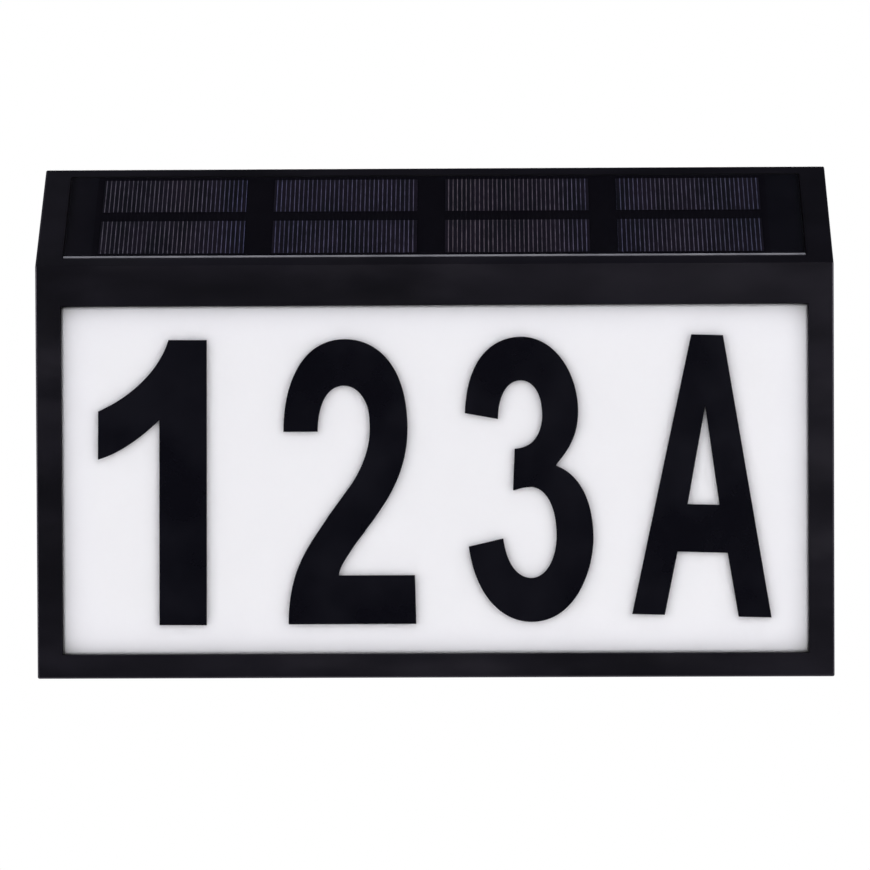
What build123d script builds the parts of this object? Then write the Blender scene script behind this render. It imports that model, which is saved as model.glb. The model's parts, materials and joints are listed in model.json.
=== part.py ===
from build123d import *
from math import cos, pi, radians, sin, tan
import os

# Illuminated house number sign: a wall-hung, solar-charged light box.
# Millimetres. +X to the right as seen from the street, +Z up, and the wall plane is Y = 0, so the
# lit front faces -Y. The origin is on the wall plane, midway between the two keyhole entries.

# ---- driving dimensions: case ----
case_w = 280.0          # overall width
front_h = 145.1         # upright front face, from the base to the fold
crown_d = 4.6           # level strip at the top, from the leaning solar deck back to the wall
deck_angle = 45.0       # lean of the deck from level
case_d = 40.0           # wall plane to front face
keyhole_height = 130.0  # keyhole entries above the base
wall = 2.5              # moulded wall
edge_r = 0.7            # rounding of the outer edges
fold_r = 0.35           # rounding of the fold between front and deck
lip = 1.0               # wall left outside the rear plate
fit_gap = 0.2           # clearance round plates that drop into a rebate
merge = 0.1             # how far joined shapes and cutters run into one another

# ---- driving dimensions: window and panel ----
window_side = 8.85      # bezel at the left and right
window_top = 14.25      # bezel above the window
window_base = 8.35      # bezel below the window
panel_gap = 0.15        # clearance of the raised panel in the window
panel_set_back = 0.2    # panel face behind the bezel face
panel_rim = 1.0         # bevel round the raised panel
flange_over = 3.2       # flange that reaches behind the bezel
flange_t = 1.6

# ---- driving dimensions: characters ----
digit_h = 100.0
digit_t = 0.8
character_count = 4     # each character stands in its own quarter of the window
digit_1_in = 12.65      # left edges of the characters from the left edges of their quarters
digit_2_in = 12.58
digit_3_in = 10.65
letter_a_in = 3.5
digit_1_up = 10.65      # their feet above the window's lower edge
digit_2_up = 10.65
digit_3_up = 11.23
letter_a_up = 13.85
digit_1_tilt = -0.3     # degrees, as they were stuck on
letter_a_tilt = -1.6

# ---- driving dimensions: solar module ----
module_l = 260.6
module_w = 41.6
module_gap = 0.3        # clearance round the module in its recess
recess_d = 2.4
foam_t = 0.8
foam_w = 7.0
board_t = 1.2           # backsheet board
cell_l = 51.1
cell_w = 16.5
cell_t = 0.2
cell_pitch = 61.0       # between neighbouring pairs of cells
cell_row_gap = 4.9      # between the upper and the lower row
cell_shift = -1.1       # the row of cells sits a little left of centre
cell_cols = 4
cell_rows = 2
cover_t = 1.0           # clear laminate above the board
terminal_r = 0.65
terminal_h = 0.7
lead_slot_l = 10.0
lead_slot_w = 5.0

# ---- driving dimensions: light box ----
tray_t = 1.5
tray_inset = 2.0        # tray mouth inside the window edge
tray_room = 4.0         # between the tray and the battery bay
tray_taper = 6.0        # how far each side leans in over its depth
ear_w = 10.0
ear_set = 5.9           # ears behind the tray flange's front
ear_above = 7.5         # ear screw above the window edge
ear_reach = 4.0         # ear beyond its screw
ear_spots = (-90.0, 0.0, 90.0)
catch_w = 10.0
catch_grip = 1.2        # catch over the tray flange
catch_flat = 0.5        # flat tip of a catch
tray_post_r = 2.8
strip_in = 12.9         # strips from the ends of the tray's floor
strip_w = 8.0
strip_t = 1.0
strip_spread = 30.0     # each strip from the window's middle line
led_count = 10
led_w = 3.5
led_h = 2.8
led_t = 1.9
led_case_t = 1.6        # white case of the package, below its lens
lens_r = 1.1
feed_in = 10.0          # supply wires from the left end of the upper strip
link_in = 6.0           # wires between the strips from their right ends
feed_hole_w = 5.0
feed_hole_h = 3.0

# ---- driving dimensions: rear plate ----
plate_t = 2.5
seal_t = 0.8
boss_r = 3.25
boss_into_wall = 0.3
mid_boss_up = 80.0      # above the base
top_boss_down = 20.5    # below the top
crown_boss_x = 50.0
crown_boss_down = 14.5
stud_gap = 0.05         # screw thread in its hole
screw_free = 0.3        # pilot hole past the screw's end
case_screw_r = 1.4
case_screw_l = 8.0
case_head_r = 2.6
case_head_h = 1.5
head_sunk = 0.4         # screw heads below the surface
head_gap = 0.3
small_screw_r = 1.1
small_screw_l = 6.0
small_head_r = 2.2
small_head_h = 1.2
notch_gap = 0.4         # flanges round the bosses
head_round = 0.45       # rounding of a head as a share of its height
tip_bevel = 0.4         # bevel of a tip as a share of its radius
driver_depth = 0.4      # cross recess, as shares of the head's radius
driver_span = 1.2
driver_blade = 0.28

# ---- driving dimensions: keyholes ----
keyhole_span = 180.0    # between the two entries
keyhole_r = 4.5         # entry for a screw head
keyhole_slot_w = 4.4    # slot for the screw's shank
keyhole_drop = 9.0      # how far the sign drops on its screws
keyhole_head_room = 4.5
pocket_gap = 0.7
pocket_wall = 1.5

# ---- driving dimensions: batteries ----
aa_r = 7.25
aa_l = 50.5             # over the nub
aa_nub_r = 2.75
aa_nub_l = 1.3
aa_edge_r = 0.6
aa_gap = 0.6            # between the two cells
bay_x = 0.0
bay_up = 45.0           # middle of the bay above the base
bay_wall = 1.5
bay_floor_gap = 0.3
bay_side_gap = 0.3
contact_t = 0.3
contact_w = 11.0
bump_h = 1.2
bump_r = 2.6
spring_h = 3.2
spring_r = 4.5
spring_tip_r = 2.6
spring_wire_r = 0.4
tab_w = 3.0
tab_l = 3.0
door_t = 2.2
door_sunk = 0.2         # door face in front of the wall plane
door_margin = 4.5       # door past its screws and past the bay
door_seat_t = 2.0
door_seal_t = 0.75
door_seal_w = 1.6
door_seal_inset = 0.5   # seal outside the bay's mouth
door_corner_r = 2.0
door_side_gap = 0.3
door_boss_r = 3.0
door_boss_l = 7.5
door_screw_l = 7.0
door_rib_w = 2.0
door_rib_l = 30.0
door_rib_h = 1.0
door_rib_gap = 0.3
hold_r = 6.0            # finger notch in the door's edge

# ---- driving dimensions: switch ----
switch_x = 70.0
switch_well_l = 24.0
switch_well_w = 12.0
switch_well_d = 6.0
switch_l = 13.0
switch_w = 6.5
switch_d = 4.5
switch_ear_l = 20.0
switch_ear_t = 0.6
switch_travel = 3.0
knob_l = 5.0
knob_w = 3.2
knob_out = 4.5          # knob above the floor of its well
knob_in = 2.0           # knob inside the switch
knob_gap = 0.4
knob_bevel = 0.4
ridge_w = 0.4
ridge_d = 0.5
ridge_pitch = 1.2
mark_inset = 2.4        # marks from the ends of the switch's well
mark_r = 1.5
mark_line = 0.5
mark_bar = 3.2
mark_d = 0.3
stake_r = 0.9
stake_gap = 0.1
stake_head_r = 1.5
stake_head_h = 0.8
pin_w = 0.6
pin_l = 3.0
pin_pitch = 3.0

# ---- driving dimensions: control board ----
pcb_x = 0.0
pcb_up = 104.0          # middle of the board above the base
pcb_l = 60.0
pcb_w = 34.0
pcb_t = 1.6
pcb_stand = 4.8         # above the rear plate
pcb_hole_inset = 3.5
stand_r = 2.6
pcb_screw_r = 0.9
pcb_screw_l = 5.5
pcb_head_r = 1.9
pcb_head_h = 1.2
pcb_hole_gap = 0.2
pcb_corner_r = 1.0
plug_l = 6.0            # along its wires
plug_w = 6.0
plug_h = 5.0
plug_bevel = 0.4
lights_plug_up = 6.0    # plugs from the middle lines of the board
batteries_plug_left = 12.0
switch_plug_down = 5.0
chip_spot = (-10.0, 2.0)
chip_l = 5.0
chip_w = 4.0
chip_h = 1.6
chip_lift = 0.2
chip_bevel = 0.25
leg_pitch = 1.27
leg_w = 0.4
leg_out = 1.0
coil_spot = (10.0, 4.0)
coil_r = 4.0
coil_h = 4.5
coil_flange = 1.0
coil_core_r = 3.2
capacitor_spot = (8.0, -10.0)
capacitor_r = 3.15
capacitor_h = 7.0
capacitor_edge_r = 0.5
wire_r = 0.6
wire_gap = 0.25         # between the two wires of a lead
solar_lead_out = 14.0   # solar wires run this far below the module
plug_lead_out = 12.0    # straight run of a lead into its plug
light_lead_rise = 4.0   # light wires turn this far behind the plugs' level
link_room = 8.0         # the wires between the strips stand this far behind the tray
bay_lead_out = 10.0     # battery wires run this far beyond their tabs
switch_lead_rise = 15.0  # switch wires turn towards their plug this far below it
lead_spread = 3.0       # between two wires where they turn a corner apart

# ---- worked out ----
base_z = -keyhole_height
fold_z = base_z + front_h
lean = radians(deck_angle)
deck_run = case_d - crown_d
deck_rise = deck_run * tan(lean)
top_z = fold_z + deck_rise
front_y = -case_d
bezel_y = front_y + wall
window_w = case_w - 2 * window_side
window_h = front_h - window_top - window_base
window_z = base_z + window_base + window_h / 2
window_left = -window_w / 2
window_foot = window_z - window_h / 2
panel_y = front_y + panel_set_back
flange_y = bezel_y + flange_t
flange_w = window_w + 2 * flange_over
flange_h = window_h + 2 * flange_over
tray_flange_y = flange_y + tray_t
seat_y = -plate_t - seal_t
plate_w = case_w - 2 * (lip + fit_gap)
plate_h = top_z - base_z - 2 * (lip + fit_gap)
plate_z = (base_z + top_z) / 2
boss_inset = wall + boss_r - boss_into_wall
boss_x = case_w / 2 - boss_inset
pad_r = boss_r - notch_gap
case_bosses = [
    (side * x, z)
    for side in (-1, 1)
    for x, z in (
        (boss_x, base_z + boss_inset),
        (boss_x, base_z + mid_boss_up),
        (boss_x, top_z - top_boss_down),
        (crown_boss_x, top_z - crown_boss_down),
    )
]
case_head_y = -head_sunk - case_head_h
pocket_y = -plate_t - keyhole_head_room
bay_z = base_z + bay_up
switch_z = bay_z
pcb_z = base_z + pcb_up
bay_l = 2 * contact_t + spring_h + aa_l + bump_h
bay_w = 4 * aa_r + aa_gap + 2 * bay_side_gap
cell_offset_z = aa_r + aa_gap / 2
door_screw_x = bay_l / 2 + bay_wall + door_boss_r + door_side_gap
door_l = 2 * (door_screw_x + door_margin)
door_w = bay_w + 2 * door_margin
door_face_y = -door_sunk
door_back_y = door_face_y - door_t
door_seat_y = door_back_y - seal_t
cell_y = door_back_y - door_rib_h - door_rib_gap - aa_r
bay_floor_y = cell_y - aa_r - bay_floor_gap
tray_back_y = bay_floor_y - bay_wall - tray_room
tray_floor_y = tray_back_y - tray_t
tray_mouth_l = window_w - 2 * tray_inset
tray_mouth_h = window_h - 2 * tray_inset
tray_floor_l = tray_mouth_l - 2 * tray_taper
tray_floor_h = tray_mouth_h - 2 * tray_taper
ear_y = flange_y + ear_set
ear_z = window_z + window_h / 2 + ear_above
strip_l = tray_floor_l - 2 * strip_in
led_pitch = strip_l / led_count
feed_x = -strip_l / 2 + feed_in
link_x = strip_l / 2 - link_in
well_floor_y = -switch_well_d
switch_y = well_floor_y - pocket_wall
knob_rest_x = switch_x - switch_travel / 2
pcb_back_y = -plate_t - pcb_stand
pcb_face_y = pcb_back_y - pcb_t
plug_y = pcb_face_y - plug_h / 2
upper_strip_z = window_z + strip_spread
lower_strip_z = window_z - strip_spread
strip_y = tray_floor_y - strip_t
wire_step = wire_r + wire_gap / 2
deck_mid_y = front_y + deck_run / 2
deck_mid_z = fold_z + deck_rise / 2
deck = Plane(origin=(0, deck_mid_y, deck_mid_z), x_dir=(1, 0, 0), z_dir=(0, -sin(lean), cos(lean)))
recess_l = module_l + 2 * module_gap
recess_w = module_w + 2 * module_gap
foam_top = -recess_d + foam_t
board_top = foam_top + board_t
cover_top = board_top + cover_t


# ---- helpers ----
def facing(y):
    """Upright plane at depth y, seen from the front: sketch x is X and sketch y is Z."""
    return Plane(origin=(0, y, 0), x_dir=(1, 0, 0), z_dir=(0, -1, 0))


def slab(sketch, rear, front):
    """Solid between two depths; front is the more negative."""
    return extrude(facing(rear) * sketch, amount=rear - front)


def block(x, z, length, height, rear, front):
    return slab(Pos(x, z) * Rectangle(length, height), rear, front)


def post(x, z, radius, rear, front):
    return slab(Pos(x, z) * Circle(radius), rear, front)


def deck_slab(sketch, low, high):
    """Solid between two heights above the deck's surface."""
    return extrude(deck.offset(low) * sketch, amount=high - low)


def deck_point(x, u, height):
    """Point on the deck, u up its slope from its middle line."""
    return deck.from_local_coords(Vector(x, u, height))


def side_profile(inset, rear):
    """Side view of the case with its front, deck, top and base moved in by inset."""
    fold_drop = inset * (1 - sin(lean)) / cos(lean)
    crown_back = inset * (1 - cos(lean)) / sin(lean)
    corners = [
        (rear, base_z + inset),
        (front_y + inset, base_z + inset),
        (front_y + inset, fold_z - fold_drop),
        (front_y + deck_run + crown_back, top_z - inset),
        (rear, top_z - inset),
    ]
    return make_face(Plane.YZ * Polyline(*corners, close=True))


def box_body(inset, rear):
    return extrude(side_profile(inset, rear), amount=case_w / 2 - inset, both=True)


def cross_recess(x, z, head_y, radius, toward):
    """Cross-shaped driver recess in a screw head whose face is at head_y."""
    arm = radius * driver_span
    blade = radius * driver_blade
    shape = Rectangle(arm, blade) + Rectangle(blade, arm)
    floor_y = head_y - toward * radius * driver_depth
    return slab(Pos(x, z) * shape, max(head_y, floor_y), min(head_y, floor_y))


def screw(x, z, seat, shank_r, shank_l, head_r, head_h, toward):
    """Pan-head screw whose head sits on the plane seat; toward is +1 if the head faces the wall."""
    head_y = seat + toward * head_h
    tip_y = seat - toward * shank_l
    head = post(x, z, head_r, max(seat, head_y), min(seat, head_y))
    face_edges = head.edges().filter_by(GeomType.CIRCLE).sort_by(Axis.Y)
    head = fillet(face_edges[-1 if toward > 0 else 0], head_h * head_round)
    shank = post(x, z, shank_r, max(seat, tip_y), min(seat, tip_y))
    tip_edges = shank.edges().filter_by(GeomType.CIRCLE).sort_by(Axis.Y)
    shank = chamfer(tip_edges[0 if toward > 0 else -1], shank_r * tip_bevel)
    return head + shank - cross_recess(x, z, head_y, head_r, toward)


def wire(points):
    """Insulated wire through a list of points: straight runs joined by tangent arcs."""
    runs = [(Vector(*b) - Vector(*a)) for a, b in zip(points, points[1:])]
    radii = []
    for first, second in zip(runs, runs[1:]):
        turn = radians(first.get_angle(second))
        radii.append(0.45 * min(first.length, second.length) / tan(turn / 2))
    path = FilletPolyline(*points, radius=radii) if radii else Line(*points)
    start = Plane(origin=points[0], z_dir=runs[0])
    tube = sweep(start * Circle(wire_r), path=path)
    share = tube.volume / (pi * wire_r**2 * path.length)
    print(f"wire {path.length:.1f} mm, bends {[round(r, 1) for r in radii]}, volume check {share:.4f}")
    return tube


def lead(points, across):
    """Two wires side by side, each shifted by wire_step along the vector across."""
    shifts = [Vector(*across) * (sign * wire_step) for sign in (-1, 1)]
    return [wire([tuple(Vector(*p) + shift) for p in points]) for shift in shifts]


def save(name, *shapes):
    """Write one sub-part; several solids stay separate in their one file."""
    solids = [solid for shape in shapes for solid in shape.solids()]
    export_step(solids[0] if len(solids) == 1 else Compound(solids), f"parts/{name}.step")


# ---- case ----
def boss_starts(spots, radius, rear):
    """Round bosses from just inside the front or the deck back to the plane rear."""
    start_y = front_y + wall / 2
    return [post(x, z, radius, rear, start_y) for x, z in spots]


def tray_posts():
    return [post(x, ear_z, tray_post_r, ear_y, bezel_y - wall / 2) for x in ear_spots]


def tray_catches():
    """Wedges on the floor of the case that hold the lower edge of the tray's flange."""
    floor_z = base_z + wall
    tip_z = window_z - flange_h / 2 + catch_grip
    run = tip_z - floor_z
    foot_z = floor_z - wall / 2
    side = Polyline((tray_flange_y, foot_z), (tray_flange_y, tip_z), (tray_flange_y + catch_flat, tip_z),
                    (tray_flange_y + run, foot_z), close=True)
    wedge = extrude(make_face(Plane.YZ * side), amount=catch_w / 2, both=True)
    return [Pos(x, 0, 0) * wedge for x in ear_spots]


def front_housing():
    """Bezel, sides and solar deck in one moulding, open to the wall."""
    outer = box_body(0, 0)
    at_wall = [e for e in outer.edges() if abs(e.center().Y) < fold_r and e.geom_type == GeomType.LINE
               and abs(e.start_point().Y - e.end_point().Y) < fold_r]
    fold = [e for e in outer.edges().filter_by(Axis.X) if abs(e.center().Z - fold_z) < fold_r]
    kept = [e.center() for e in at_wall + fold]
    outside = [e for e in outer.edges() if all((e.center() - c).length > fold_r for c in kept)]
    shell = fillet(outside, edge_r)
    fold = [e for e in shell.edges().filter_by(Axis.X) if abs(e.center().Z - fold_z) < edge_r / 2
            and abs(e.center().Y - front_y) < edge_r / 2]
    shell = fillet(fold, fold_r)
    cavity = box_body(wall, wall)
    pan = deck_slab(Rectangle(recess_l + 2 * wall, recess_w + 2 * wall), -recess_d - wall, -wall / 2)
    inside = [pan, *boss_starts(case_bosses, boss_r, seat_y), *tray_posts(), *tray_catches()]
    envelope = box_body(wall / 2, seat_y)
    body = shell - cavity
    for piece in inside:
        body += piece & envelope
    body -= deck_slab(Rectangle(recess_l, recess_w), -recess_d, wall)
    body -= deck_slab(Rectangle(lead_slot_l, lead_slot_w), -recess_d - 3 * wall, -recess_d / 2)
    body -= block(0, window_z, window_w, window_h, bezel_y + wall / 2, front_y - wall)
    body -= block(0, plate_z, case_w - 2 * lip, top_z - base_z - 2 * lip, wall, seat_y)
    pilot_end = case_head_y - case_screw_l - screw_free
    for x, z in case_bosses:
        body -= post(x, z, case_screw_r + stud_gap, seat_y + merge, pilot_end)
    for x in ear_spots:
        pilot_end = ear_y + tray_t - small_screw_l - screw_free
        body -= post(x, ear_z, small_screw_r + stud_gap, ear_y + merge, pilot_end)
    return body


# ---- lit panel and characters ----
def notched(sketch):
    """A flange outline with room for the case bosses beside the window."""
    for x, z in case_bosses:
        sketch -= Pos(x, z) * Circle(boss_r + notch_gap)
    return sketch


def flange_outline():
    return notched(Pos(0, window_z) * Rectangle(flange_w, flange_h))


def diffuser_panel():
    """Opal panel: a raised, bevelled face in the window and a flange behind the bezel."""
    raised = block(0, window_z, window_w - 2 * panel_gap, window_h - 2 * panel_gap, flange_y, panel_y)
    raised = chamfer(raised.faces().sort_by(Axis.Y)[0].edges(), panel_rim)
    return raised + slab(flange_outline(), flange_y, bezel_y)


# The outlines are drawn on a grid 100 units tall, the height of a character. A bow is a smooth
# curve from one point to the next, pulled by the two points between them.
def bow(start, first_pull, last_pull, end):
    return Bezier(start, first_pull, last_pull, end)


def run_through(*points):
    return [Line(a, b) for a, b in zip(points, points[1:])]


def one_outline():
    flag_top = bow((0.1, 75.0), (11.0, 79.9), (21.3, 88.7), (24.8, 100.1))
    flag_under = bow((21.6, 72.1), (17.1, 67.6), (8.8, 60.6), (0, 58.1))
    stem = run_through((24.8, 100.1), (38.2, 100.1), (38.2, 0), (21.6, 0), (21.6, 72.1))
    return make_face([flag_top, *stem, flag_under, Line((0, 58.1), (0.1, 75.0))])


def two_outline():
    return make_face([
        bow((0, 67.6), (0, 83.4), (5.9, 100), (21.7, 100)),
        bow((21.7, 100), (33.2, 100), (43.5, 90.3), (43.5, 68.9)),
        bow((43.5, 68.9), (43.5, 51.9), (34.9, 41.8), (31.4, 36.5)),
        Line((31.4, 36.5), (24.7, 27.6)),
        bow((24.7, 27.6), (21.1, 22.1), (19.5, 20), (19.2, 17.1)),
        *run_through((19.2, 17.1), (45.9, 17.1), (46.3, 0), (1.5, 0)),
        bow((1.5, 0), (1.5, 20.1), (9.3, 28.1), (15.8, 38.2)),
        Line((15.8, 38.2), (23.8, 49.2)),
        bow((23.8, 49.2), (31.6, 61), (30.2, 69.8), (30.2, 71.2)),
        bow((30.2, 71.2), (30.2, 78.8), (25.7, 83.7), (21.4, 83.7)),
        bow((21.4, 83.7), (13.9, 83.7), (12, 74.2), (12, 67.6)),
        Line((12, 67.6), (0, 67.6)),
    ])


def three_outline():
    return make_face([
        bow((0, 73.3), (0.7, 93.4), (10.5, 100), (19.8, 100)),
        bow((19.8, 100), (31.6, 100), (39.7, 87.1), (39.7, 73.9)),
        bow((39.7, 73.9), (39.7, 61.9), (32.5, 56.7), (31.9, 54.8)),
        bow((31.9, 54.8), (40.8, 51.5), (44.9, 41.5), (44.9, 29.3)),
        bow((44.9, 29.3), (44.9, 17.9), (38.4, 0), (23.3, 0)),
        bow((23.3, 0), (12, 0), (3.3, 10.1), (1.2, 26.5)),
        Line((1.2, 26.5), (13.3, 29.3)),
        bow((13.3, 29.3), (14.6, 19.2), (19, 15.4), (23.1, 15.4)),
        bow((23.1, 15.4), (28.2, 15.4), (32, 21.9), (32, 30.3)),
        bow((32, 30.3), (32, 42.2), (27.2, 47.3), (23.2, 47.3)),
        bow((23.2, 47.3), (19.2, 47.3), (18.3, 46.2), (16.8, 46.2)),
        Line((16.8, 46.2), (17.4, 60.8)),
        bow((17.4, 60.8), (25.1, 61), (27.1, 67.8), (27.1, 72.5)),
        bow((27.1, 72.5), (27.1, 79.9), (24.1, 84.7), (19.6, 84.7)),
        bow((19.6, 84.7), (14.1, 84.7), (11.6, 78), (11.6, 71.2)),
        Line((11.6, 71.2), (0, 73.3)),
    ])


def letter_a_outline():
    outside = Polyline((0, 0), (18.2, 98.5), (29.3, 98.5), (48.8, 0), (37.3, 0), (32.9, 22.3),
                       (15.3, 22.3), (11.4, 0), close=True)
    counter = Polyline((23.7, 73.7), (29.6, 39), (18.4, 39), close=True)
    return make_face(outside) - make_face(counter)


def character(outline, place, inward, up, tilt):
    """One stick-on character; inward and up set its lower left corner in quarter number place."""
    grown = scale(outline, by=digit_h / 100)
    left = window_left + place * window_w / character_count + inward
    return slab(Pos(left, window_foot + up) * Rot(0, 0, tilt) * grown, panel_y, panel_y - digit_t)


# ---- solar module ----
def cell_sketches():
    """All cell strips of the module, in columns of two."""
    step = cell_w + cell_row_gap
    spots = [(cell_shift + (col - (cell_cols - 1) / 2) * cell_pitch, (row - (cell_rows - 1) / 2) * step)
             for col in range(cell_cols) for row in range(cell_rows)]
    return [Pos(x, u) * Rectangle(cell_l, cell_w) for x, u in spots]


def solar_adhesive():
    """Two foam tapes between the recess floor and the board."""
    offset = module_w / 2 - foam_w / 2 - module_gap
    return [deck_slab(Pos(0, side * offset) * Rectangle(module_l - foam_w, foam_w), -recess_d, foam_top)
            for side in (-1, 1)]


def solar_backsheet():
    return deck_slab(Rectangle(module_l, module_w), foam_top, board_top)


def solar_cells():
    return [deck_slab(sketch, board_top, board_top + cell_t) for sketch in cell_sketches()]


def solar_cover():
    """Clear laminate cast over the cells, with the cells' own room left in it."""
    cover = deck_slab(Rectangle(module_l, module_w), board_top, cover_top)
    for sketch in cell_sketches():
        cover -= deck_slab(sketch, board_top - cell_t, board_top + cell_t)
    return cover


def solar_terminals():
    return [deck_slab(Pos(side * wire_step, 0) * Circle(terminal_r), foam_top - terminal_h, foam_top)
            for side in (-1, 1)]


# ---- light box ----
def frustum(mouth_l, mouth_h, back_l, back_h, front, rear):
    """Four-sided funnel between two upright rectangles round the window's middle."""
    mouth = facing(front) * (Pos(0, window_z) * Rectangle(mouth_l, mouth_h))
    back = facing(rear) * (Pos(0, window_z) * Rectangle(back_l, back_h))
    return loft([mouth, back], ruled=True)


def reflector_tray():
    """White tray with leaning sides that throws the light forward through the panel."""
    thick = 2 * tray_t
    outer = frustum(tray_mouth_l + thick, tray_mouth_h + thick, tray_floor_l + thick, tray_floor_h + thick,
                    flange_y, tray_back_y)
    ear_top = ear_z + ear_reach
    ear_foot = window_z + window_h / 2 - tray_taper
    tray = outer + slab(flange_outline(), tray_flange_y, flange_y)
    for x in ear_spots:
        tray += block(x, (ear_top + ear_foot) / 2, ear_w, ear_top - ear_foot, ear_y + tray_t, ear_y)
    tray -= frustum(tray_mouth_l, tray_mouth_h, tray_floor_l, tray_floor_h, flange_y, tray_floor_y)
    for x in ear_spots:
        tray -= post(x, ear_z, small_screw_r + pcb_hole_gap, ear_y + 2 * tray_t, ear_y - tray_t)
    for x, z in ((feed_x, upper_strip_z), (link_x, upper_strip_z), (link_x, lower_strip_z)):
        tray -= block(x, z, feed_hole_w, feed_hole_h, tray_back_y + tray_t, tray_floor_y - strip_t / 2)
    return tray


def tray_screws():
    seat = ear_y + tray_t
    return [screw(x, ear_z, seat, small_screw_r, small_screw_l, small_head_r, small_head_h, 1)
            for x in ear_spots]


def led_board(z):
    return block(0, z, strip_l, strip_w, tray_floor_y, strip_y)


def led_chips(z):
    """LED packages, each a white box with a round clear lens window standing a little proud."""
    spots = [(i - (led_count - 1) / 2) * led_pitch for i in range(led_count)]
    return [block(x, z, led_w, led_h, strip_y, strip_y - led_case_t)
            + post(x, z, lens_r, strip_y, strip_y - led_t) for x in spots]


# ---- rear plate ----
def keyhole_sketch(x):
    """Entry circle with a slot that rises from it."""
    slot = Pos(0, keyhole_drop / 2) * SlotOverall(keyhole_drop + keyhole_slot_w, keyhole_slot_w, rotation=90)
    return Pos(x, 0) * (Circle(keyhole_r) + slot)


def keyhole_pocket(x, grow, rear, front):
    """Room behind a keyhole for a screw's head along the whole slot."""
    half = keyhole_r + pocket_gap + grow
    height = keyhole_drop + 2 * half
    return block(x, keyhole_drop / 2, 2 * half, height, rear, front)


def back_cover():
    """Rear plate with keyhole pockets, battery bay, switch well and the stands of the board."""
    plate = block(0, plate_z, plate_w, plate_h, 0, -plate_t)
    for x, z in case_bosses:
        plate += post(x, z, pad_r, -plate_t / 2, seat_y)
    for side in (-1, 1):
        x = side * keyhole_span / 2
        plate += keyhole_pocket(x, pocket_wall, -plate_t / 2, pocket_y - pocket_wall)
    plate += block(bay_x, bay_z, door_l + 2 * door_seat_t, door_w + 2 * door_seat_t, -plate_t / 2,
                   door_seat_y - door_seat_t)
    plate += block(bay_x, bay_z, bay_l + 2 * bay_wall, bay_w + 2 * bay_wall, -plate_t / 2,
                   bay_floor_y - bay_wall)
    for side in (-1, 1):
        x = bay_x + side * door_screw_x
        plate += post(x, bay_z, door_boss_r, -plate_t / 2, door_seat_y - door_boss_l)
    plate += block(switch_x, switch_z, switch_well_l + 2 * pocket_wall, switch_well_w + 2 * pocket_wall,
                   -plate_t / 2, switch_y)
    plate += switch_stakes()
    for x, z in pcb_holes():
        plate += post(x, z, stand_r, -plate_t / 2, pcb_back_y)
    for side in (-1, 1):
        x = side * keyhole_span / 2
        plate -= keyhole_pocket(x, 0, -plate_t, pocket_y)
        plate -= slab(keyhole_sketch(x), wall, -plate_t - merge)
    recess_x = door_l + 2 * door_side_gap
    recess_z = door_w + 2 * door_side_gap
    plate -= block(bay_x, bay_z, recess_x, recess_z, wall, door_seat_y)
    plate -= block(bay_x, bay_z, bay_l, bay_w, wall, bay_floor_y)
    plate -= tab_slots()
    for side in (-1, 1):
        x = bay_x + side * door_screw_x
        pilot_end = door_screw_seat() - door_screw_l - screw_free
        plate -= post(x, bay_z, case_screw_r + stud_gap, wall, pilot_end)
    plate -= block(switch_x, switch_z, switch_well_l, switch_well_w, wall, well_floor_y)
    slot_l = knob_l + switch_travel + 2 * knob_gap
    plate -= block(switch_x, switch_z, slot_l, knob_w + 2 * knob_gap, 0, switch_y - knob_gap)
    plate -= switch_marks()
    for x, z in case_bosses:
        plate -= post(x, z, case_head_r + head_gap, wall, case_head_y)
        plate -= post(x, z, case_screw_r + head_gap, 0, seat_y - wall)
    pilot_end = pcb_face_y + pcb_screw_l + screw_free
    for x, z in pcb_holes():
        plate -= post(x, z, pcb_screw_r + stud_gap, pilot_end, pcb_back_y - merge)
    return plate


def back_gasket():
    """Flat silicone ring between the plate and the shoulder of the case."""
    outer = Pos(0, plate_z) * Rectangle(plate_w, plate_h)
    inner = Pos(0, plate_z) * Rectangle(case_w - 2 * wall, top_z - base_z - 2 * wall)
    return slab(outer - inner, -plate_t, seat_y)


def case_screws():
    return [screw(x, z, case_head_y, case_screw_r, case_screw_l, case_head_r, case_head_h, 1)
            for x, z in case_bosses]


# ---- battery bay ----
def battery_cell(sign):
    """AA cell; sign is +1 for the upper cell, whose nub points to +X."""
    body_l = aa_l - aa_nub_l
    body = Cylinder(aa_r, body_l, align=(Align.CENTER, Align.CENTER, Align.MIN))
    body = fillet(body.edges().filter_by(GeomType.CIRCLE), aa_edge_r)
    nub = Pos(0, 0, body_l) * Cylinder(aa_nub_r, aa_nub_l, align=(Align.CENTER, Align.CENTER, Align.MIN))
    whole = body + nub
    tail_x = bay_x - sign * bay_l / 2 + sign * (contact_t + spring_h)
    return Pos(tail_x, cell_y, bay_z + sign * cell_offset_z) * Rot(0, sign * 90, 0) * whole


def contact_plate(x_wall, inward, z, height):
    """Sprung metal plate against an end wall of the bay."""
    return Pos(x_wall + inward * contact_t / 2, cell_y, z) * Box(contact_t, contact_w, height)


def along_x(x, z, radius, length):
    """Short round boss along X that starts at x; a negative length points to -X."""
    return Pos(x + length / 2, cell_y, z) * Rot(0, 90, 0) * Cylinder(radius, abs(length))


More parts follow.
